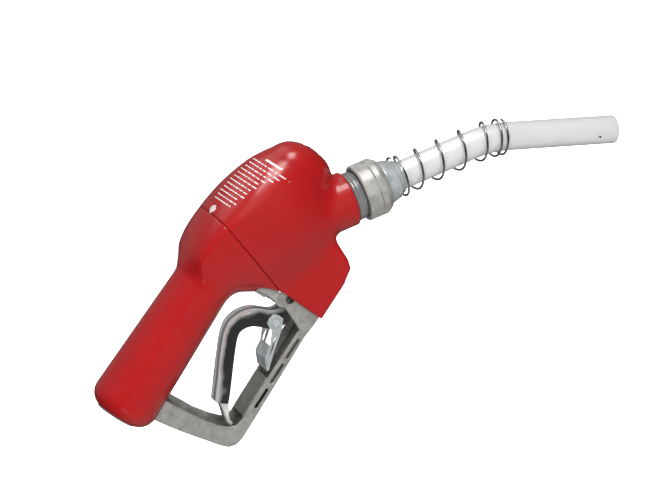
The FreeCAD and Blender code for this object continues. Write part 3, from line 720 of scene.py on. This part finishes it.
def printed_patch(x0, x1, y0, y1, lift):
    """A small printed rectangle that follows the crown, as points and faces."""
    rows = max(int(abs(x1 - x0) / 0.7), 1) + 1
    columns = max(int(abs(y1 - y0) / 0.9), 1) + 1
    gx, gy = np.meshgrid(np.linspace(x0, x1, rows), np.linspace(y0, y1, columns), indexing="ij")
    gz = crown_height(gx, gy)
    top = np.stack([gx, gy, gz + lift], -1).reshape(-1, 3)
    low = np.stack([gx, gy, gz - lift], -1).reshape(-1, 3)
    faces = []
    size = rows * columns
    for i in range(rows - 1):
        for j in range(columns - 1):
            a, b = i * columns + j, (i + 1) * columns + j
            faces.append((a, a + 1, b + 1, b))
            faces.append((size + a, size + b, size + b + 1, size + a + 1))
    edge = [(0, j) for j in range(columns)] + [(i, columns - 1) for i in range(1, rows)]
    edge += [(rows - 1, j) for j in range(columns - 2, -1, -1)] + [(i, 0) for i in range(rows - 2, 0, -1)]
    loop = [i * columns + j for i, j in edge]
    for a, b in zip(loop, loop[1:] + loop[:1]):
        faces.append((b, a, size + a, size + b))
    return np.concatenate([top, low]), faces


INK = 0.07                  # how far the print stands above and sinks below the crown
DROP_Y = -9.0               # middle of the drop mark


def make_print():
    """Rows of plain dashes in place of lettering, with a drop mark below them."""
    rng = np.random.default_rng(7)
    points, faces, count = [], [], 0

    def add(patch):
        nonlocal count
        points.append(patch[0])
        faces.extend(tuple(i + count for i in f) for f in patch[1])
        count += len(patch[0])

    add(printed_patch(205.8, 207.3, -20.5, -10.0, INK))
    rows = 12
    for row in range(rows):
        share = row / (rows - 1)
        x = mix(202.6, 166.0, share)
        near = mix(-25.5, -24.0, share)
        y = -1.0 if row % 3 else 0.4
        while y > near + 2.0:
            dash = rng.uniform(1.2, 3.6)
            add(printed_patch(x - 0.4, x + 0.4, max(y - dash, near), y, INK))
            y -= dash + 0.8
    for i in range(6):
        t = (i + 0.5) / 6
        half = 3.4 * math.sin(math.pi * t ** 0.75)
        top = 161.6 - 6.6 * t
        add(printed_patch(top, top - 0.8, DROP_Y - half, DROP_Y + half, INK))
    panel = new_object("printed_panel", np.concatenate(points), faces)
    finish_piece(panel, "body", "red_vinyl", look=WHITE_INK)


# ---- lever guard ----

GUARD = [
    (11.0, -8.0), (13.2, -30.0), (15.2, -46.0), (18.0, -62.0), (20.2, -75.0), (22.2, -81.4),
    (26.4, -85.2), (32.5, -86.6), (51.0, -86.2), (72.0, -85.6), (99.0, -84.8), (117.0, -84.2),
    (123.0, -84.9), (131.0, -85.4), (158.0, -84.0), (158.0, -50.0), (127.0, -50.0), (126.2, -60.0),
    (118.8, -77.6), (116.6, -76.9), (91.0, -76.7), (56.0, -77.3), (43.6, -77.7), (38.2, -76.5),
    (34.8, -72.4), (32.4, -66.0), (30.4, -54.0), (29.3, -42.0), (28.6, -30.0), (28.0, -8.0),
]
FAR_WALL = [(27.0, -12.0), (30.8, -16.0), (31.4, -31.5), (31.9, -51.6), (33.8, -64.0), (36.4, -73.6),
            (42.0, -78.4), (30.0, -78.4), (24.0, -60.0), (22.0, -12.0)]


LEG_HOLLOW = [(15.4, -31.0), (17.6, -46.0), (20.4, -62.0), (22.8, -73.6), (26.8, -80.6), (33.0, -84.2),
              (45.8, -84.0), (45.8, -70.0), (60.0, -60.0), (60.0, -31.0)]
BAR_HOLLOW = [(47.8, -84.4), (47.8, -78.9), (76.2, -78.4), (76.2, -84.0)]
TROUGH = [(78.2, -83.8), (78.2, -70.0), (126.0, -70.0), (119.0, -82.6)]
RIBS = [(22.0, -42.0), (22.8, -46.6), (23.6, -51.2), (24.4, -55.8), (25.2, -60.4)]
SLOT_REACH = 7.0            # from a slot's middle to the centre of its round end
SLOT_R = 1.15


def rib_field(x, y, z, rib_x, rib_z):
    """Short raised grip rib across both sides of the guard's leg."""
    reach = np.maximum(np.abs(x - rib_x - 0.25 * (z - rib_z)) - 3.2, 0.0)
    return np.sqrt(reach ** 2 + (z - rib_z) ** 2 + (np.abs(y) - GUARD_HALF + 0.2) ** 2) - 0.85


def guard_field(x, y, z):
    """Cast guard: fork around the lever, slotted bar and open rear leg."""
    shape = plate_field(x, y, z, GUARD, GUARD_HALF, 1.8)
    inner = GUARD_HALF - 1.9
    wall = soft_max(outline_field(x, z, FAR_WALL), np.abs(y - GUARD_HALF + 1.1) - 1.0, 0.6)
    shape = soft_min(shape, wall, 0.8)
    for rib_x, rib_z in RIBS:
        shape = soft_min(shape, rib_field(x, y, z, rib_x, rib_z), 0.5)
    for hollow, corner, k in ((LEG_HOLLOW, 1.6, 1.2), (BAR_HOLLOW, 0.8, 0.6), (TROUGH, 1.4, 1.2)):
        shape = carve(shape, plate_field(x, y, z, hollow, inner, corner), k)
    shape = carve(shape, box_field(x, y, z, (110, -FORK_IN, -81.6), (170, FORK_IN, -30)), 0.8)
    for i in range(3):
        start, height = 56.8 + 20.7 * i, -81.7 + 0.36 * i
        dx = np.abs(x - (start + SLOT_REACH)) - SLOT_REACH
        slot = np.sqrt(np.maximum(dx, 0) ** 2 + (z - height) ** 2) - SLOT_R
        shape = carve(shape, np.maximum(slot, np.minimum(y, GUARD_HALF - 1.0 - y)), 0.7)
    hole = np.sqrt((x - 133.6) ** 2 + (z + 58.6) ** 2) - 3.2
    shape = carve(shape, hole, 0.8)
    groove = np.sqrt(y * y + (z + 76.6) ** 2) - 0.55
    shape = carve(shape, np.maximum(groove, x - 78.0), 0.5)
    shape = soft_max(shape, np.where(x > 129.0, np.abs(y) - FORK_OUT, -9.0), 0.5)
    seat = grip_field(x, y, z) - 0.05
    return carve(shape, seat, 0.3)


def make_guard():
    guard = moulded("lever_guard_casting", guard_field, (8.0, -15.0, -88.0), (160.0, 15.0, -12.0), 0.62)
    finish_piece(guard, "body", "cast_aluminium", ["lever_guard"], guard_material())


GLAND_LUG = [(126.9, -30.0), (127.5, -44.0), (126.9, -49.6), (125.2, -53.8), (126.6, -59.6), (128.6, -58.0),
             (129.6, -54.0), (133.0, -50.6), (134.2, -49.0), (134.2, -30.0)]
STEM_X = 129.0


def gland_field(x, y, z):
    """Cast cheeks over the guard's fork, with the stem's gland between them."""
    shape = plate_field(x, y, z, GLAND_LUG, 12.5, 1.4)
    shape = carve(shape, box_field(x, y, z, (100.0, -10.3, -80.0), (150.0, 10.3, -42.0)), 1.0)
    shape = soft_max(shape, -box_field(x, y, z, (128.6, -20.0, -80.0), (150.0, 20.0, -49.8)), 0.3)
    gland = rod_field(x, y, z, vec(STEM_X, 0, -46.2), vec(STEM_X, 0, -32.0), 4.3)
    shape = soft_min(shape, gland, 1.2)
    bore = rod_field(x, y, z, vec(STEM_X, 0, -60.0), vec(STEM_X, 0, -20.0), 3.12)
    return carve(shape, bore, 0.3)


def make_gland():
    gland = moulded("stem_gland_casting", gland_field, (122.0, -14.0, -61.0), (136.5, 14.0, -28.0), 0.55)
    finish_piece(gland, "body", "cast_aluminium", ["packing_nut"])


# ---- lever ----

# Lever stations: top of the web (x, z) and how far the flanges reach below it.
LEVER = np.array([
    [150.2, -60.2, 9.2], [142.0, -59.4, 10.2], [132.0, -58.9, 10.4], [125.0, -58.5, 10.8],
    [121.4, -56.2, 12.0], [118.8, -51.6, 12.2], [116.6, -46.0, 12.2], [113.4, -40.6, 11.8],
    [108.6, -36.1, 11.2], [102.6, -33.1, 10.4], [96.0, -32.0, 9.6], [89.6, -33.2, 9.1],
    [83.0, -35.9, 9.0], [71.4, -41.8, 9.0], [57.4, -49.3, 9.0], [50.2, -53.2, 8.9], [44.2, -56.4, 8.6],
])
TAIL = [(48.4, -55.6), (45.2, -59.4), (42.4, -64.2), (39.0, -68.4), (35.8, -72.6), (34.6, -76.6)]


def smooth_path(points, per_span):
    """Catmull-Rom curve through the points."""
    points = np.asarray(points, float)
    padded = np.vstack([2 * points[0] - points[1], points, 2 * points[-1] - points[-2]])
    out = []
    for i in range(1, len(padded) - 2):
        p0, p1, p2, p3 = padded[i - 1:i + 3]
        for j in range(per_span):
            t = j / per_span
            out.append(0.5 * ((2 * p1) + (p2 - p0) * t + (2 * p0 - 5 * p1 + 4 * p2 - p3) * t * t
                              + (3 * p1 - p0 - 3 * p2 + p3) * t ** 3))
    out.append(padded[-2])
    return np.array(out)


def channel_section(half, depth, corner, steps=6):
    """Half a pressed channel as (across, below the web) points, near flange to far flange."""
    right = [(half, depth), (half, mix(corner, depth, 0.6)), (half, mix(corner, depth, 0.25))]
    for i in range(steps + 1):
        a = math.pi / 2 * i / steps
        right.append((half - corner + corner * math.cos(a), corner - corner * math.sin(a)))
    right.append(((half - corner) * 0.5, 0.0))
    return right + [(0.0, 0.0)] + [(-y, d) for y, d in reversed(right)]


def pressed_channel(name, path, sections, thickness):
    """Channel of bent sheet: one open section at each point of an XZ path that runs to the rear."""
    rings = []
    for i, ((x, z), section) in enumerate(zip(path, sections)):
        before, after = path[max(i - 1, 0)], path[min(i + 1, len(path) - 1)]
        ahead = unit(vec(after[0] - before[0], 0, after[1] - before[1]))
        below = vec(-ahead[2], 0.0, ahead[0])       # from the web towards the flange edges
        rings.append(np.array([vec(x, 0, z) + ACROSS * y + below * d for y, d in section]))
    count = len(rings[0])
    faces = []
    for i in range(len(rings) - 1):
        for j in range(count - 1):
            a, b = i * count + j, (i + 1) * count + j
            faces.append((a, a + 1, b + 1, b))
    obj = new_object(name, np.concatenate(rings), faces)
    face_from_above(obj)
    sheet(obj, thickness)
    return obj


def make_lever():
    path = smooth_path(LEVER, 6)
    sections = [channel_section(LEVER_HALF, depth, 5.0) for depth in path[:, 2]]
    lever = pressed_channel("lever_pressing", path[:, :2], sections, 1.6)
    cut_notches(lever)
    finish_piece(lever, "lever", "chromed_steel", ["lever"])
    make_tail()


NOTCHES = [(73.6, -43.9), (50.2, -56.3)]
NOTCH_HALF = 2.9            # half its length along the lever
NOTCH_DEEP = 1.5            # how far it reaches into the web and into the flange


def cut_notches(lever):
    """Small relief slots in the lever's rounded corners."""
    along = unit(vec(14.0, 0.0, 7.6))
    above = vec(-along[2], 0.0, along[0])
    points, faces = [], []
    for i, (x, z) in enumerate(NOTCHES):
        centre = vec(x, LEVER_HALF, z)
        corners = [centre + along * a * NOTCH_HALF + above * b * NOTCH_DEEP + ACROSS * c * NOTCH_DEEP
                   for a in (-1, 1) for b in (-1, 1) for c in (-1, 1)]
        points += corners
        faces += [tuple(i * 8 + k for k in f) for f in
                  ((0, 1, 3, 2), (4, 6, 7, 5), (0, 4, 5, 1), (2, 3, 7, 6), (0, 2, 6, 4), (1, 5, 7, 3))]
    cut_away(lever, new_object("notch_cutter", points, faces, smooth=False))
    sharp_by_angle(lever, 40.0)


def face_from_above(obj):
    """Make an open sheet's normals point out of the top of its web."""
    bm = bmesh.new()
    bm.from_mesh(obj.data)
    bm.faces.ensure_lookup_table()
    total = sum((f.normal.z * f.calc_area() for f in bm.faces), 0.0)
    if total < 0:
        bmesh.ops.reverse_faces(bm, faces=bm.faces)
    bm.to_mesh(obj.data)
    bm.free()


def sheet(obj, thickness):
    """Thicken a surface downwards and break its edges."""
    solid = obj.modifiers.new("sheet", "SOLIDIFY")
    solid.thickness = thickness * MM
    solid.offset = -1.0
    edges = obj.modifiers.new("edges", "BEVEL")
    edges.width = 0.35 * MM
    edges.segments = 2
    edges.limit_method = "ANGLE"
    edges.angle_limit = math.radians(50.0)


def make_tail():
    """Narrow tongue at the lever's rear, turned down into the guard's corner."""
    path = smooth_path(TAIL, 5)
    sections = [channel_section(mix(7.4, 5.0, min(i / 8, 1.0)), mix(8.6, 3.2, min(i / 16, 1.0)), 1.9)
                for i in range(len(path))]
    tail = pressed_channel("lever_tail", path, sections, 1.4)
    finish_piece(tail, "lever", "chromed_steel")


CLIP_RIVET = (114.6, -59.2)
CLIP_BLADE = [(111.0, -54.4), (108.1, -61.2), (97.8, -66.4), (89.6, -67.6), (82.2, -74.6),
              (83.6, -75.4), (97.7, -70.6), (111.4, -67.0), (120.0, -62.8), (118.6, -54.6)]
CLIP_WINDOW = [(101.5, -66.3), (90.6, -70.4), (98.6, -68.9), (107.4, -65.6)]
CLIP_WEB = [(83.4, -75.4), (81.8, -74.8), (88.6, -68.0), (98.0, -66.4), (98.4, -67.6), (89.4, -69.2)]


def clip_field(x, y, z):
    """Hold-open clip: two blades beside the lever, joined by a web at the tip."""
    dx, dz = x - CLIP_RIVET[0], z - CLIP_RIVET[1]
    blade = soft_min(outline_field(x, z, CLIP_BLADE), np.sqrt(dx ** 2 + dz ** 2) - 5.4, 0.8)
    inner = soft_max(blade + 1.3, outline_field(x, z, CLIP_WINDOW), 0.4)
    rib = soft_min(soft_max(blade, np.abs(np.abs(y) - 10.2) - 0.6, 0.5),
                   soft_max(blade, soft_max(-blade - 1.5, np.abs(np.abs(y) - 10.4) - 0.42, 0.4), 0.4), 0.4)
    rib = carve(rib, inner, 0.4)
    web = soft_max(outline_field(x, z, CLIP_WEB), np.abs(y) - 10.4, 0.5)
    hole = np.sqrt(dx ** 2 + dz ** 2) - 1.6
    return carve(soft_min(rib, web, 0.6), hole, 0.2)


def make_clip():
    low, high = (79.0, -12.5, -77.5), (124.5, 12.5, -51.5)
    clip = moulded("hold_open_clip_pressing", clip_field, low, high, 0.42)
    finish_piece(clip, "hold_open_clip", "zinc_plated_steel", ["hold_open_clip"])


# ---- spout group ----


def make_neck():
    """Machined end of the casting between the cover's lip and the spout nut."""
    outline = [(-16.0, 12.0), (-16.0, 16.4), (-9.6, 17.0), (-8.6, 17.8), (-7.0, 17.8), (-6.7, 17.4),
               (-6.3, 17.8), (-4.4, 17.8), (-4.0, 17.2), (-2.6, 17.2), (-2.2, 16.0), (-0.6, 16.0),
               (-0.6, 12.0)]
    neck = turned("socket_neck", outline, 0.3, 2)
    finish_piece(neck, "body", "machined_aluminium")


NUT_REAR = -1.8            # station of its rear face
NUT_FLATS = 40.6
NUT_CORNERS = 42.2
NUT_TURN = math.radians(10.0)


def nut_field(x, y, z):
    """Cast nut: six wide flats with broken corners, a parting groove and coned ends."""
    px, pz = x - SPOUT_ROOT[0], z - SPOUT_ROOT[2]
    along = px * SPOUT_DIR[0] + pz * SPOUT_DIR[2] - NUT_REAR
    up = px * SPOUT_UP[0] + pz * SPOUT_UP[2]
    shape = None
    for i in range(12):
        a = NUT_TURN + math.pi / 6 * i
        reach = (NUT_FLATS if i % 2 == 0 else NUT_CORNERS) / 2
        face = up * math.cos(a) - y * math.sin(a) - reach
        shape = face if shape is None else soft_max(shape, face, 0.9)
    radius = np.sqrt(up * up + y * y)
    groove = np.abs(along - 10.4) - 0.22
    shape = carve(shape, np.maximum(groove, 19.7 - radius), 0.45)
    shape = soft_max(shape, radius - 21.6 + np.maximum(1.8 - along, 0) * 0.8, 0.8)
    shape = soft_max(shape, radius - 21.2 + np.maximum(along - 14.6, 0) * 0.7, 1.0)
    shape = soft_max(shape, along - 19.4, 1.0)
    shape = soft_max(shape, 0.1 - along, 0.8)
    shape = carve(shape, np.maximum(radius - 17.6, along - 2.4), 0.6)
    return carve(shape, radius - 13.0, 0.6)


def make_nut():
    low = SPOUT_ROOT + vec(-16, -23, -37)
    high = SPOUT_ROOT + vec(30, 23, 22)
    nut = moulded("spout_nut_casting", nut_field, low, high, 0.5)
    finish_piece(nut, "body", "cast_aluminium", ["spout_nut"])


def make_bushing():
    outline = [(15.2, 10.4), (15.2, 12.6), (16.8, 12.6), (17.0, 16.2), (18.6, 16.2), (26.6, 14.2),
               (27.6, 12.8), (30.4, 12.0), (30.6, 10.4)]
    bushing = turned("spout_bushing_turning", outline, 0.5, 3)
    finish_piece(bushing, "body", "zinc_plated_steel", ["spout_bushing"])


def make_spout():
    """Bent tube with a rolled tip, inside and outside walls in one loop."""
    count = 64
    stations = list(np.linspace(-20.0, SPOUT_RUN, 14))
    stations += list(np.linspace(SPOUT_RUN, SPOUT_RUN + BEND_R * SPOUT_BEND, 18))[1:]
    stations += list(np.linspace(SPOUT_RUN + BEND_R * SPOUT_BEND, SPOUT_END - 1.2, 14))[1:]
    rings = []
    for s in stations:
        centre, ahead, up = on_spout(s)
        rings.append(ring_points(centre, ahead, up, SPOUT_R, count))
    for i in range(1, 7):
        a = math.pi * i / 7
        centre, ahead, up = on_spout(SPOUT_END - 1.2 + 1.1 * math.sin(a))
        rings.append(ring_points(centre, ahead, up, SPOUT_R - SPOUT_WALL / 2 * (1 - math.cos(a)), count))
    for s in reversed(stations):
        centre, ahead, up = on_spout(s)
        rings.append(ring_points(centre, ahead, up, SPOUT_R - SPOUT_WALL, count))
    points, faces = skin_rings(rings, closed=True)
    spout = new_object("spout_tube_drawn", points, faces)
    face_outwards(spout)
    drill_sensing_hole(spout)
    finish_piece(spout, "body", "bright_aluminium", ["spout_tube"])


def drill_sensing_hole(spout):
    centre, ahead, up = on_spout(SPOUT_END - 16.0)
    out = unit(-ACROSS * 0.93 - up * 0.37)
    rings = [ring_points(centre + out * d, out, ahead, 1.7, 20) for d in (4.0, 16.0)]
    points, faces = skin_rings(rings)
    cut_away(spout, new_object("sensing_cutter", points, faces))
    sharp_by_angle(spout, 40.0)


def cut_away(obj, cutter):
    """Take the cutter's solid out of the object and drop the cutter."""
    face_outwards(cutter)
    mod = obj.modifiers.new("cut", "BOOLEAN")
    mod.operation = "DIFFERENCE"
    mod.solver = "EXACT"
    mod.object = cutter
    apply_modifiers(obj)
    bpy.data.objects.remove(cutter)


def apply_modifiers(obj):
    bpy.context.view_layer.update()
    shown = obj.evaluated_get(bpy.context.evaluated_depsgraph_get())
    mesh = bpy.data.meshes.new_from_object(shown)
    obj.modifiers.clear()
    obj.data = mesh


COIL_TURNS = [28.4, 32.6, 48.4, 65.6, 84.0, 101.4, 111.0, 114.6]
COIL_RADII = [14.9, 14.2, 13.4, 13.3, 13.3, 13.2, 12.9, 12.6]
WIRE_R = 0.88


def make_anchor_spring():
    """Anchor spring: one crossing turn at the bushing, open turns, a double turn at the end."""
    turns = len(COIL_TURNS) - 1
    steps = turns * 40
    at = np.linspace(0, turns, steps + 1)
    knots = np.arange(turns + 1)
    stations = np.interp(at, knots, COIL_TURNS)
    kernel = np.ones(13) / 13
    padded = np.concatenate([np.full(6, stations[0]), stations, np.full(6, stations[-1])])
    stations = np.convolve(padded, kernel, "valid")
    radii = np.interp(at, knots, COIL_RADII)
    centres = []
    for s, turn, radius in zip(stations, at, radii):
        centre, _, up = on_spout(s)
        a = 2 * math.pi * turn
        centres.append(centre + up * (radius * math.cos(a)) + ACROSS * (radius * math.sin(a)))
    wire = tube_along("anchor_spring_wire", np.array(centres), WIRE_R, 12)
    finish_piece(wire, "body", "spring_steel", ["anchor_spring", "spring_stop"])


def tube_along(name, centres, radius, count):
    """Round wire along a path, with rounded ends."""
    tangents = np.gradient(centres, axis=0)
    tangents /= np.linalg.norm(tangents, axis=1)[:, None]
    up = unit(np.cross(tangents[0], vec(0.3, 0.9, 0.2)))
    rings = []
    cap = [(0.98, 0.2), (0.8, 0.6), (0.35, 0.93)]       # how far beyond the end, share of the radius
    first, last = tangents[0], tangents[-1]
    for past, share in cap:
        rings.append(ring_points(centres[0] - first * radius * past, first, up, radius * share, count))
    for centre, ahead in zip(centres, tangents):
        up = unit(up - ahead * np.dot(up, ahead))
        rings.append(ring_points(centre, ahead, up, radius, count))
    for past, share in reversed(cap):
        rings.append(ring_points(centres[-1] + last * radius * past, last, up, radius * share, count))
    points, faces = skin_rings(rings)
    obj = new_object(name, points, faces)
    face_outwards(obj)
    return obj


# ---- carried-over CAD nodes ----


def dress_cad_nodes():
    """Give every CAD node its slot's material."""
    slots = {entry["node"]: entry["material_slot"] for entry in frame["record"]["subparts"]}
    for name, obj in frame["nodes"].items():
        obj.data.materials.clear()
        obj.data.materials.append(MATERIALS[slots[name]])


# ---- stage, light and camera ----


def area_light(name, place, target, size, energy, mirrored):
    data = bpy.data.lights.new(name, "AREA")
    data.shape = "RECTANGLE"
    data.size = data.size_y = size
    data.energy = energy
    obj = bpy.data.objects.new(name, data)
    obj.location = place
    obj.rotation_euler = (Vector(target) - Vector(place)).to_track_quat("-Z", "Y").to_euler()
    obj.visible_glossy = mirrored
    bpy.context.scene.collection.objects.link(obj)


def make_stage():
    """Pale floor well below the nozzle; only the camera sees it, so metal stays readable."""
    size, height = 8.0, -0.62
    corners = [(-size, -size, height), (size, -size, height), (size, size, height), (-size, size, height)]
    mesh = bpy.data.meshes.new("floor")
    mesh.from_pydata(corners, [], [(0, 1, 2, 3)])
    floor = bpy.data.objects.new("floor", mesh)
    bpy.context.scene.collection.objects.link(floor)
    mat, _, _, shader = material("floor")
    shader.inputs["Base Color"].default_value = (0.92, 0.92, 0.92, 1.0)
    shader.inputs["Roughness"].default_value = 0.9
    shader.inputs["Emission Color"].default_value = (1.0, 1.0, 1.0, 1.0)
    shader.inputs["Emission Strength"].default_value = 1.0
    mesh.materials.append(mat)
    floor.visible_diffuse = False
    floor.visible_glossy = False
    floor.visible_transmission = False


def make_world():
    """White room for the camera; light from above and behind, darker in front and below."""
    world = bpy.data.worlds.new("studio")
    world.use_nodes = True
    nodes, links = world.node_tree.nodes, world.node_tree.links
    backdrop = nodes["Background"]
    backdrop.inputs["Color"].default_value = (1.0, 1.0, 1.0, 1.0)
    room = nodes.new("ShaderNodeBackground")
    coords = nodes.new("ShaderNodeTexCoord")
    facing = nodes.new("ShaderNodeVectorMath")
    facing.operation = "DOT_PRODUCT"
    facing.inputs[1].default_value = (0.50, 0.30, 0.81)
    links.new(coords.outputs["Generated"], facing.inputs[0])
    height = level(nodes, links, facing.outputs["Value"], 0.0, 1.0, -1.0, 1.0)
    shades = [(0.0, (0.40, 0.39, 0.38)), (0.13, (0.24, 0.235, 0.23)), (0.25, (0.045, 0.045, 0.046)),
              (0.46, (0.025, 0.026, 0.028)), (0.60, (0.06, 0.062, 0.065)), (0.74, (0.20, 0.205, 0.21)),
              (0.93, (0.24, 0.24, 0.24)), (0.955, (1.0, 1.0, 1.0)), (1.0, (1.3, 1.3, 1.3))]
    links.new(ramp(nodes, links, height, shades), room.inputs["Color"])
    path = nodes.new("ShaderNodeLightPath")
    both = nodes.new("ShaderNodeMixShader")
    links.new(path.outputs["Is Camera Ray"], both.inputs["Fac"])
    links.new(room.outputs["Background"], both.inputs[1])
    links.new(backdrop.outputs["Background"], both.inputs[2])
    links.new(both.outputs["Shader"], nodes["World Output"].inputs["Surface"])
    bpy.context.scene.world = world


MIDDLE = (0.18, 0.0, -0.07)
LIGHTS = [      # name, place, target, size, power, whether shiny surfaces mirror it
    ("key", (0.75, -0.95, 0.75), MIDDLE, 0.8, 14.0, False),
    ("fill", (0.55, -1.3, -0.10), MIDDLE, 1.2, 11.0, False),
    ("side", (-0.9, -1.0, 0.08), (0.08, 0.0, -0.05), 0.5, 13.0, False),
    ("back", (0.0, 1.3, 0.55), MIDDLE, 1.2, 14.0, False),
    ("window", (1.18, -0.44, 0.69), MIDDLE, 0.5, 6.0, True),
]


def make_light():
    make_world()
    for light in LIGHTS:
        area_light(*light)
    view = bpy.context.scene.view_settings
    view.view_transform = "Standard"
    view.look = "None"


LENS = 118.4
ELEVATION = math.radians(25.0)
ROLL = math.radians(57.0)
LOOK_AT = Vector((0.18406, 0.0, -0.06924))
DISTANCE = 1.562


def make_camera():
    """Camera beside the nozzle, a little above, rolled so that the grip runs up the frame."""
    data = bpy.data.cameras.new("camera")
    data.lens = LENS
    data.sensor_width = 36.0
    data.clip_start = 0.05
    camera = bpy.data.objects.new("camera", data)
    back = Vector((0.0, -math.cos(ELEVATION), math.sin(ELEVATION)))
    right = Vector((1.0, 0.0, 0.0))
    up = Vector((0.0, math.sin(ELEVATION), math.cos(ELEVATION)))
    rolled_right = right * math.cos(ROLL) - up * math.sin(ROLL)
    rolled_up = right * math.sin(ROLL) + up * math.cos(ROLL)
    turn = Matrix((rolled_right, rolled_up, back)).transposed()
    camera.matrix_world = Matrix.Translation(LOOK_AT + back * DISTANCE) @ turn.to_4x4()
    bpy.context.scene.collection.objects.link(camera)
    bpy.context.scene.camera = camera


dress_cad_nodes()
make_covers()
make_print()
make_guard()
make_gland()
make_lever()
make_clip()
make_neck()
make_nut()
make_bushing()
make_spout()
make_anchor_spring()
make_stage()
make_light()
make_camera()

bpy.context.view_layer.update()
import json
